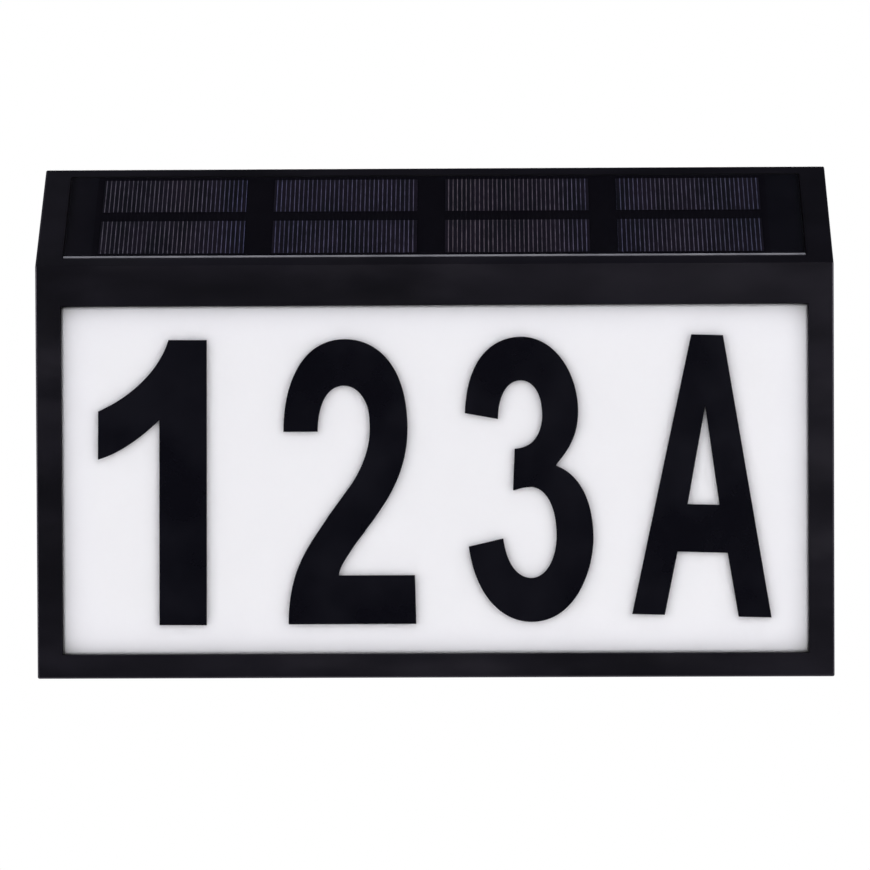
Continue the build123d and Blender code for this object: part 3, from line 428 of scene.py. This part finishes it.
def sawn_laminate():
    made, tree, shader, place = start_material("sawn laminate edge", {"IOR": 1.45})
    finish(tree, shader, place, "8b8c93", "a5a6ac", patch=14.0, rough=(0.5, 0.7),
           grain=0.3, height=0.01, stretch=(1, 0.3, 0.3))
    return made


# Painted shade: the three edges in the recess's gap are coloured black, standing in for the shade there.
def painted_shade_black():
    made, tree, shader, place = start_material("black painted edge shade", {"IOR": 1.41})
    finish(tree, shader, place, "0a0a0d", "121216", patch=5.0, rough=(0.4, 0.6),
           grain=0.5, height=0.004)
    return made


for edge_finish in (cast_clear_laminate(), sawn_laminate(), painted_shade_black()):
    cover.data.materials.append(edge_finish)
print("cover finishes:", [m.name for m in cover.data.materials])

# %% [markdown]
# ## The board under the cells: black-filmed glass epoxy
# Between the strips the board itself shows. It is glass cloth in epoxy under a black film, and the
# cloth's weave, with threads about 0.5 mm apart, still prints through very faintly. Where the cells
# were laminated the film is a bluer black than on the bare left and right ends, and towards the left
# end it turns a little lighter.


# %% Module board
thread_pitch = 0.5 * MM
film_past_cells = 2.5 * MM
film_edge = 0.3 * MM


def filmed_glass_epoxy():
    made, tree, shader, place = start_material("black-filmed glass epoxy", {
        "IOR": 1.5, "Specular IOR Level": 0.06})
    finish(tree, shader, place, "0b0b12", "101017", patch=22.0, rough=(0.4, 0.5),
           grain=0.5, height=0.002)
    field = distance_inside(tree, place, "X", cells_low.x - film_past_cells,
                            cells_high.x + film_past_cells)
    under_cells = add(tree, "ShaderNodeMapRange", {"Value": field, "From Max": film_edge})
    apart = add(tree, "ShaderNodeSeparateXYZ", {"Vector": place})
    # The board turns a little lighter towards its left end.
    lighter_leftward = add(tree, "ShaderNodeMapRange", {
        "Value": apart.outputs["X"], "From Min": cells_low.x, "From Max": cover_low.x})
    lay_over(tree, shader, lighter_leftward.outputs[0], linear("15141a"))
    lay_over(tree, shader, under_cells.outputs[0], linear("09080f"))
    weave = add(tree, "ShaderNodeTexWave", {
        "Vector": place, "Scale": math.pi / 10 / thread_pitch, "Distortion": 0.4, "Detail": 1.0})
    cloth = add(tree, "ShaderNodeBump", {
        "Height": weave.outputs["Fac"], "Distance": 0.002 * MM,
        "Normal": shader.inputs["Normal"].links[0].from_socket})
    tree.links.new(cloth.outputs[0], shader.inputs["Normal"])
    return made


module_board = filmed_glass_epoxy()
print(module_board.name, "ready")

# %% [markdown]
# ## The light box: moulded white ABS
# The tray behind the panel throws the LEDs' light forward. A mirror would throw more, but it would
# show each LED as a spot. So the tray is white ABS with a semi-gloss skin, and two near whites with
# the shared recipe are enough for it.


# %% White ABS
def moulded_white_abs():
    made, tree, shader, place = start_material("moulded white ABS", {"IOR": 1.54})
    finish(tree, shader, place, "e9e9eb", "f2f2f4", patch=25.0, rough=(0.3, 0.42),
           grain=0.6, height=0.003)
    return made


white_abs = moulded_white_abs()
print(white_abs.name, "ready")

# %% [markdown]
# ## The switch and the plugs: moulded nylon
# What slides or clips is nylon, because it is tough and slippery. Its skin is waxy, neither matt nor
# bright. The switch's housing is black. Its knob and the plugs keep nylon's own yellowish white,
# which tells them from the colder white of the light box.


# %% Black and natural nylon
def moulded_black_nylon():
    made, tree, shader, place = start_material("moulded black nylon", {"IOR": 1.53})
    finish(tree, shader, place, "131313", "1c1c1d", patch=4.0, rough=(0.42, 0.58),
           grain=0.3, height=0.004)
    return made


def moulded_white_nylon():
    made, tree, shader, place = start_material("moulded natural nylon", {"IOR": 1.53})
    finish(tree, shader, place, "d8d3c6", "e6e2d7", patch=3.0, rough=(0.38, 0.52),
           grain=0.25, height=0.003)
    return made


black_nylon = moulded_black_nylon()
white_nylon = moulded_white_nylon()
print("nylons:", black_nylon.name, "and", white_nylon.name)

# %% [markdown]
# ## Seals and tape: silicone and foam
# A flat ring of black silicone keeps rain out between the rear plate and the case, and a smaller one
# does so at the door. Silicone gathers a dusty bloom, which a little sheen gives at a low angle. The
# module's board is held by closed-cell foam tape, whose open cut cells make it rough all over.


# %% Silicone and foam
def moulded_silicone():
    made, tree, shader, place = start_material("moulded black silicone", {"IOR": 1.41, "Sheen Weight": 0.15})
    finish(tree, shader, place, "161616", "232323", patch=6.0, rough=(0.6, 0.78),
           grain=0.35, height=0.006)
    return made


def foam_tape():
    made, tree, shader, place = start_material("closed-cell foam tape", {"IOR": 1.45})
    finish(tree, shader, place, "1b1b1c", "2b2b2d", patch=2.0, rough=(0.8, 0.95),
           grain=0.4, height=0.06)
    return made


silicone = moulded_silicone()
foam = foam_tape()
print("soft parts:", silicone.name, "and", foam.name)

# %% [markdown]
# ## Metals
# A metal has no diffuse colour: its base colour is the tint of its mirror, so metallic is 1 and the
# roughness does the rest. The screws are steel, pressed cold into shape and then plated with zinc,
# whose bluish bloom is never quite even. The springs and contacts are rolled strip and wire under
# nickel, brighter and warmer. The module's two solder points are copper dipped in hot tin.


# %% Zinc, nickel and tinned copper
def plated_zinc_steel():
    made, tree, shader, place = start_material("zinc-plated steel", {"Metallic": 1.0})
    finish(tree, shader, place, "9a9ca3", "b9bac0", patch=1.6, rough=(0.28, 0.46),
           grain=0.18, height=0.006)
    return made


def rolled_nickel_steel():
    made, tree, shader, place = start_material("rolled nickel-plated steel", {"Metallic": 1.0})
    finish(tree, shader, place, "a8a296", "c6c0b2", patch=3.0, rough=(0.2, 0.34),
           grain=0.25, height=0.003, stretch=(1, 1, 0.2))
    return made


def tinned_copper():
    made, tree, shader, place = start_material("hot-tinned copper", {"Metallic": 1.0})
    finish(tree, shader, place, "b4b3ad", "cfcec8", patch=1.2, rough=(0.25, 0.42),
           grain=0.3, height=0.01)
    return made


zinc = plated_zinc_steel()
nickel = rolled_nickel_steel()
tin = tinned_copper()
print("metals:", [m.name for m in (zinc, nickel, tin)])

# %% [markdown]
# ## The control board: masked glass epoxy and a moulded chip
# The board is glass epoxy under green solder mask. Its copper tracks lie under the mask too and show
# as a slightly lighter green. Drawing each track would be a picture of its own, so a brick pattern
# stands for them: its joints are the tracks, 0.7 mm wide. The pattern lies level and the board
# stands upright, so only its upright joints show, as lines 5.2 mm apart, which is plainer than real
# tracks. The chip on it is moulded in black epoxy, whose mineral filler makes it dull.


# %% Green board and black chip
track_width = 0.7 * MM
track_pitch = 5.2 * MM
track_row = 1.9 * MM


def masked_green_board():
    made, tree, shader, place = start_material("green-masked glass epoxy", {"IOR": 1.5, "Coat Weight": 0.4})
    finish(tree, shader, place, "0e3a20", "14492a", patch=9.0, rough=(0.25, 0.35),
           grain=0.5, height=0.002)
    tracks = add(tree, "ShaderNodeTexBrick", {
        "Vector": place, "Scale": 1.0, "Mortar Size": track_width / 2, "Brick Width": track_pitch,
        "Row Height": track_row})
    lay_over(tree, shader, tracks.outputs["Fac"], linear("226b3f"))
    return made


def moulded_black_epoxy():
    made, tree, shader, place = start_material("moulded black epoxy", {"IOR": 1.55})
    finish(tree, shader, place, "0f0f10", "1a1a1b", patch=1.5, rough=(0.45, 0.6),
           grain=0.12, height=0.004)
    return made


green_board = masked_green_board()
black_epoxy = moulded_black_epoxy()
print("board and chip:", green_board.name, "and", black_epoxy.name)

# %% [markdown]
# ## The light strips: lacquered aluminium and LEDs
# The LEDs sit on narrow boards of aluminium, which carries their heat away. White lacquer covers the
# metal, so the strips aren't metallic to look at. Each LED is a white package with a yellow phosphor
# under its lens. All packages share one material, which asks how far the surface lies behind the
# lens's front: it is yellow up to lens_depth and white from package_depth, because the lens stands a
# little proud.


# %% Strips and LEDs
lens_depth = 0.2 * MM
package_depth = 0.28 * MM


def lacquered_aluminium():
    made, tree, shader, place = start_material("white-lacquered aluminium", {"IOR": 1.5, "Coat Weight": 0.2})
    finish(tree, shader, place, "dfe0de", "ecedeb", patch=12.0, rough=(0.3, 0.4),
           grain=0.4, height=0.002)
    return made


def moulded_led_package():
    made, tree, shader, place = start_material("white LED package", {"IOR": 1.5})
    finish(tree, shader, place, "e4e2da", "f1efe8", patch=1.0, rough=(0.3, 0.4),
           grain=0.2, height=0.002)
    low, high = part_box("led_chips_upper")
    apart = add(tree, "ShaderNodeSeparateXYZ", {"Vector": place})
    lens = add(tree, "ShaderNodeMapRange", {
        "Value": apart.outputs["Y"], "From Min": low.y + package_depth, "From Max": low.y + lens_depth})
    lay_over(tree, shader, lens.outputs[0], linear("e9c44a"))
    return made


strip_board = lacquered_aluminium()
led_package = moulded_led_package()
print("light strips:", strip_board.name, "and", led_package.name)

# %% [markdown]
# ## Coil, capacitor and wires
# The charging coil is enamelled copper wire wound on ferrite and varnished, so its brown is drawn out
# along the turns. The capacitor is an aluminium can in a shiny dark blue sleeve. The wires wear soft
# PVC, extruded over the strands, which is even and a little waxy.


# %% Ferrite, can and wires
def varnished_ferrite():
    made, tree, shader, place = start_material("ferrite under varnished copper", {"IOR": 1.6})
    finish(tree, shader, place, "2a1f19", "4d3222", patch=1.0, rough=(0.35, 0.5),
           grain=0.3, height=0.02, stretch=(1, 8, 1))
    return made


def sleeved_aluminium():
    made, tree, shader, place = start_material("sleeved aluminium can", {"IOR": 1.5})
    finish(tree, shader, place, "101a2c", "182338", patch=2.0, rough=(0.22, 0.34),
           grain=0.6, height=0.002)
    return made


def extruded_wire_pvc():
    made, tree, shader, place = start_material("extruded PVC insulation", {"IOR": 1.53})
    finish(tree, shader, place, "7a1512", "8f1c17", patch=3.0, rough=(0.4, 0.5),
           grain=0.4, height=0.004)
    return made


ferrite = varnished_ferrite()
can = sleeved_aluminium()
wire_pvc = extruded_wire_pvc()
print("small parts:", [m.name for m in (ferrite, can, wire_pvc)])

# %% [markdown]
# ## The two cells: shrink-sleeved steel
# A rechargeable cell is a nickel-plated steel can in a printed plastic sleeve. The sleeve shrinks a
# little way over both ends and leaves a steel disc and the nub bare. Near the nub it has a pale
# band, which shows which way round the cell goes. The two cells lie opposite ways, so the material
# is made twice, each time told where the cell's axis is and to which side its nub points.


# %% Sleeves, bands and bare ends
bare_radius = 5.9 * MM
band_inset = 5.0 * MM
band_width = 4.0 * MM
print_blur = 0.1 * MM


def sleeved_cell(node, way):
    """Finish of one cell; way is +1 or -1, the side of its nub along X."""
    made, tree, shader, place = start_material("sleeved steel " + node, {"IOR": 1.5})
    finish(tree, shader, place, "1f5a31", "2a6b3c", patch=10.0, rough=(0.24, 0.32),
           grain=0.8, height=0.002)
    low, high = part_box(node)
    middle = (low + high) / 2
    nub_tip = high.x if way > 0 else low.x
    aside = add(tree, "ShaderNodeVectorMath", {0: place, 1: (0.0, middle.y, middle.z)},
                operation="SUBTRACT")
    across = add(tree, "ShaderNodeVectorMath", {0: aside.outputs[0], 1: (0.0, 1.0, 1.0)},
                 operation="MULTIPLY")
    radius = add(tree, "ShaderNodeVectorMath", {0: across.outputs[0]}, operation="LENGTH")
    bare = add(tree, "ShaderNodeMapRange", {
        "Value": radius.outputs["Value"], "From Min": bare_radius, "From Max": bare_radius - print_blur / 2})
    apart = add(tree, "ShaderNodeSeparateXYZ", {"Vector": place})
    band_x = nub_tip - way * (band_inset + band_width / 2)
    off_band = add(tree, "ShaderNodeMath", {0: apart.outputs["X"], 1: band_x}, operation="SUBTRACT")
    reach = add(tree, "ShaderNodeMath", {0: off_band.outputs[0]}, operation="ABSOLUTE")
    band = add(tree, "ShaderNodeMapRange", {
        "Value": reach.outputs[0], "From Min": band_width / 2, "From Max": band_width / 2 - print_blur})
    lay_over(tree, shader, band.outputs[0], linear("d9dbd2"))
    lay_over(tree, shader, bare.outputs[0], linear("b7b2a6"))
    tree.links.new(bare.outputs[0], shader.inputs["Metallic"])
    return made


cell_finishes = {"battery_cell_1": sleeved_cell("battery_cell_1", 1),
                 "battery_cell_2": sleeved_cell("battery_cell_2", -1)}
print("cells:", [m.name for m in cell_finishes.values()])

# %% [markdown]
# ## The battery springs: coiled nickel steel
# Each cell is pressed against its contact by a conical spring, wound so that its turns sink into
# one another. The solids hold only the cone that the turns fill. Here the wire itself is wound: a
# small circle is spun round the cell's axis and moved along it a little at each step, and the coil
# is then drawn in towards its tip.

# %% Wind the springs
spring_wire_radius = 0.4 * MM
spring_wire_sides = 10
spring_foot_radius = 4.1 * MM
spring_tip_radius = 2.2 * MM
spring_run = 2.4 * MM
spring_turns = 3
spring_steps = 24 * spring_turns


def wind(work, foot, way):
    """One conical coil whose foot stands on the point foot and whose tip points along X by way."""
    start = foot + Vector((way * spring_wire_radius, 0, spring_foot_radius))
    ring = bmesh.ops.create_circle(work, segments=spring_wire_sides, radius=spring_wire_radius,
                                   matrix=Matrix.Translation(start) @ Matrix.Rotation(math.pi / 2, 4, "X"))
    edges = list({edge for vert in ring["verts"] for edge in vert.link_edges})
    known = set(work.verts) - set(ring["verts"])
    bmesh.ops.spin(work, geom=edges + ring["verts"], cent=foot, axis=(1, 0, 0),
                   dvec=(way * spring_run / spring_steps, 0, 0), angle=2 * math.pi * spring_turns,
                   steps=spring_steps, use_merge=False, use_duplicate=False)
    for vert in work.verts:
        if vert not in known:
            out = Vector((0, vert.co.y - foot.y, vert.co.z - foot.z))
            risen = (abs(vert.co.x - foot.x) - spring_wire_radius) / spring_run
            vert.co -= out.normalized() * (spring_foot_radius - spring_tip_radius) * min(max(risen, 0), 1)


spring_low, spring_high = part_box("battery_springs")
coils = bmesh.new()
for node, way in (("battery_cell_1", 1), ("battery_cell_2", -1)):
    low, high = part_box(node)
    axis = (low + high) / 2
    foot_x = spring_low.x if way > 0 else spring_high.x
    wind(coils, Vector((foot_x, axis.y, axis.z)), way)
ends = [edge for edge in coils.edges if edge.is_boundary]
bmesh.ops.holes_fill(coils, edges=ends, sides=spring_wire_sides)
bmesh.ops.recalc_face_normals(coils, faces=coils.faces)
for face in coils.faces:
    face.smooth = len(face.verts) == 4
coil_mesh = bpy.data.meshes.new("spring_coils")
coils.to_mesh(coil_mesh)
coils.free()
springs = bpy.data.objects.new("spring_coils", coil_mesh)
bpy.context.scene.collection.objects.link(springs)
coil_mesh.materials.append(nickel)
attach(springs, "case")
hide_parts("battery_springs")
turn_apart = math.hypot(spring_run, spring_foot_radius - spring_tip_radius) / spring_turns
print("springs:", len(coil_mesh.polygons), "faces, gap between turns about",
      round((turn_apart - 2 * spring_wire_radius) / MM, 2), "mm")

# %% [markdown]
# ## Dress the solids
# Every solid already names the finish it is made in, as a slot of the record. A table from slot to
# material then dresses all of them in one loop, and a slot that was forgotten stops the script at
# once. Four solids have a finish of their own: the two cells, the rear plate and its door.

# %% Slots to materials
finishes = {
    "black_abs": black_abs, "opal_acrylic": opal, "black_film": black_vinyl, "foam_tape": foam,
    "black_backsheet": module_board, "silicon_cell": silicon, "clear_laminate": cover.data.materials[0],
    "tinned_copper": tin, "white_abs": white_abs, "board_aluminium": strip_board,
    "led_package": led_package, "zinc_steel": zinc, "silicone": silicone,
    "cell_sleeve": cell_finishes["battery_cell_1"], "nickel_steel": nickel, "black_nylon": black_nylon,
    "green_board": green_board, "white_nylon": white_nylon, "black_epoxy": black_epoxy,
    "wound_ferrite": ferrite, "sleeved_can": can, "wire_pvc": wire_pvc,
}
own_finishes = {**cell_finishes, **{node: rear_abs for node in rear_nodes}}
for part in frame["record"]["subparts"]:
    mesh = frame["nodes"][part["node"]].data
    mesh.materials.clear()
    mesh.materials.append(own_finishes.get(part["node"], finishes[part["material_slot"]]))

# %% [markdown]
# ## Floor
# The sign hangs free, as on its wall, so the floor lies well below it and takes only a soft shadow.
# It is a round pale board. Towards its rim it turns into plain white for the camera and for
# anything that mirrors it, so that it runs into the white background without a line. Keeping it
# small keeps its light off the black front, which would mirror a wide floor as a grey haze.


# %% Pale floor
floor_drop = 0.3
floor_radius = 0.6
floor_sides = 96
white_from = 0.4 * floor_radius
white_to = 0.97 * floor_radius


def matt_painted_board():
    made, tree, shader, place = start_material("matt painted board", {"Specular IOR Level": 0.2})
    finish(tree, shader, place, "f1f0ee", "f6f6f4", patch=400.0, rough=(0.6, 0.7),
           grain=3.0, height=0.01)
    flat = add(tree, "ShaderNodeMapping", {"Vector": place, "Scale": (1, 1, 0)})
    away = add(tree, "ShaderNodeVectorMath", {0: flat.outputs[0]}, operation="LENGTH")
    rim = add(tree, "ShaderNodeMapRange", {
        "Value": away.outputs["Value"], "From Min": white_from, "From Max": white_to},
        interpolation_type="SMOOTHSTEP")
    path = add(tree, "ShaderNodeLightPath", {})
    looked = add(tree, "ShaderNodeMath", {0: path.outputs["Is Camera Ray"], 1: path.outputs["Is Glossy Ray"]},
                 operation="ADD")
    seen = add(tree, "ShaderNodeMath", {0: looked.outputs[0], 1: path.outputs["Is Transmission Ray"]},
               operation="ADD", use_clamp=True)
    share = add(tree, "ShaderNodeMath", {0: rim.outputs[0], 1: seen.outputs[0]}, operation="MULTIPLY")
    white = add(tree, "ShaderNodeEmission", {"Color": linear("ffffff"), "Strength": 1.0})
    both = add(tree, "ShaderNodeMixShader", {
        0: share.outputs[0], 1: shader.outputs[0], 2: white.outputs[0]})
    tree.links.new(both.outputs[0], tree.nodes["Material Output"].inputs["Surface"])
    return made


floor_work = bmesh.new()
bmesh.ops.create_circle(floor_work, cap_ends=True, segments=floor_sides, radius=floor_radius,
                        matrix=Matrix.Translation((0, 0, solid_box[0].z - floor_drop)))
floor_mesh = bpy.data.meshes.new("floor")
floor_work.to_mesh(floor_mesh)
floor_work.free()
floor = bpy.data.objects.new("floor", floor_mesh)
bpy.context.scene.collection.objects.link(floor)
floor_mesh.materials.append(matt_painted_board())
print("floor", floor_drop, "m below the sign")

# %% [markdown]
# ## Light
# Black plastic shows what surrounds it, and a white panel shows how much light falls on it. So the
# studio is built the way a photographer would build it: wide soft lamps stand off to both sides,
# where the black front doesn't mirror them into the lens, and together they bring white to just
# under full. The right one stands a little further forward and higher, which lifts the black
# towards that side, and a small lamp high on the right adds to this. A weak one high on the left
# lights the leaning deck, and a wide one behind shows the rear plate in views from the back.


# %% Soft lamps
sign_middle = (solid_box[0] + solid_box[1]) / 2


def soft_lamp(name, place, width, height, watts, tint):
    """A rectangular lamp at place, turned to the sign, unseen by the camera and through glass."""
    data = bpy.data.lights.new(name, "AREA")
    data.shape = "RECTANGLE"
    data.size = width
    data.size_y = height
    data.energy = watts
    data.color = linear(tint)[:3]
    lamp = bpy.data.objects.new(name, data)
    bpy.context.scene.collection.objects.link(lamp)
    lamp.location = place
    lamp.rotation_mode = "QUATERNION"
    lamp.rotation_quaternion = (sign_middle - Vector(place)).to_track_quat("-Z", "Y")
    lamp.visible_camera = False
    lamp.visible_transmission = False
    return lamp


lamps = [
    soft_lamp("left lamp", (-1.6, -0.85, 0.3), width=1.0, height=1.2, watts=21.6, tint="fcfbff"),
    soft_lamp("right lamp", (1.55, -0.95, 0.4), width=1.0, height=1.2, watts=21.6, tint="fcfbff"),
    soft_lamp("high right lamp", (0.62, -1.25, 0.5), width=0.4, height=0.4, watts=2.0, tint="ffffff"),
    soft_lamp("high left lamp", (-0.6, 0.1, 1.0), width=0.5, height=0.5, watts=0.35, tint="f4f6ff"),
    soft_lamp("back lamp", (0.0, 1.9, 1.1), width=1.6, height=1.2, watts=30.0, tint="ffffff"),
]
print("lamps:", [lamp.name for lamp in lamps])

# %% [markdown]
# ## Surroundings
# The background is pure white in the camera. What lights the sign from all round is dimmer than
# that, and what the gloss mirrors is dimmer again, as with the dark screens that a photographer puts
# round a black product. Only the paper low behind the sign stays white in a mirror or through
# something clear. The Light Path node tells these rays apart. Where the paper begins and ends is
# told by a direction's share towards the back, and by its share upwards. The light is also a little
# blue, like daylight from the north, which gives the panel its cool white.

# %% World
world = bpy.data.worlds.new("studio")
bpy.context.scene.world = world
world.use_nodes = True
sky = world.node_tree
sky.nodes.clear()
round_light = 0.53
dark_screens = 0.022
paper_from = 0.2
paper_full = 0.7
paper_top = 0.1
paper_gone = 0.5
path = add(sky, "ShaderNodeLightPath", {})
direction = add(sky, "ShaderNodeTexCoord", {}).outputs["Generated"]
toward = add(sky, "ShaderNodeSeparateXYZ", {"Vector": direction})
behind = add(sky, "ShaderNodeMapRange", {
    "Value": toward.outputs["Y"], "From Min": paper_from, "From Max": paper_full},
    interpolation_type="SMOOTHSTEP")
below = add(sky, "ShaderNodeMapRange", {
    "Value": toward.outputs["Z"], "From Min": paper_top, "From Max": paper_gone, "To Min": 1.0,
    "To Max": 0.0},
    interpolation_type="SMOOTHSTEP")
paper = add(sky, "ShaderNodeMath", {0: behind.outputs[0], 1: below.outputs[0]}, operation="MULTIPLY")
mirrored = add(sky, "ShaderNodeMapRange", {
    "Value": paper.outputs[0], "To Min": dark_screens, "To Max": 1.0})
bent = add(sky, "ShaderNodeMath", {
    0: path.outputs["Is Glossy Ray"], 1: path.outputs["Is Transmission Ray"]},
    operation="ADD", use_clamp=True)
dimmer = add(sky, "ShaderNodeMapRange", {
    "Value": bent.outputs[0], "To Min": round_light, "To Max": mirrored.outputs[0]})
strength = add(sky, "ShaderNodeMapRange", {
    "Value": path.outputs["Is Camera Ray"], "To Min": dimmer.outputs[0], "To Max": 1.0})
tint = add(sky, "ShaderNodeMix", {
    0: path.outputs["Is Camera Ray"], 6: linear("f9f8ff"), 7: linear("ffffff")}, data_type="RGBA")
backdrop = add(sky, "ShaderNodeBackground", {"Color": tint.outputs[2], "Strength": strength.outputs[0]})
out = add(sky, "ShaderNodeOutputWorld", {"Surface": backdrop.outputs[0]})
print("world lights with", round_light, "and its screens mirror", dark_screens)

# %% [markdown]
# ## Camera
# The photograph was taken with a long lens from about 1.3 m, almost level and almost square on. The
# position in metres and the three small turns in degrees, to the side, up and round the line of
# sight, were worked out from the corners of the case. A long lens keeps the far edges of the box
# nearly parallel, so it has to be matched before anything else can be.

# %% Camera and view
camera_data = bpy.data.cameras.new("camera")
camera_data.sensor_width = 36.0
camera_data.lens = 153.43
camera_place = Vector((0.0169, -1.34, -0.0185))
camera_turns = (0.738, -1.156, 0.253)
camera = bpy.data.objects.new("camera", camera_data)
bpy.context.scene.collection.objects.link(camera)
yaw, pitch, roll = (math.radians(v) for v in camera_turns)
turn = (Matrix.Rotation(yaw, 4, "Z") @ Matrix.Rotation(pitch, 4, "X") @ Matrix.Rotation(roll, 4, "Y")
        @ Matrix.Rotation(math.pi / 2, 4, "X"))
camera.matrix_world = Matrix.Translation(camera_place) @ turn
bpy.context.scene.camera = camera
bpy.context.scene.view_settings.view_transform = "Standard"
print("camera lens", camera_data.lens, "mm")

# %% [markdown]
# ## Finish
# The dressed sign must be as large as its solids. The last line brings the scene up to date.

# %% Finish
bpy.context.view_layer.update()
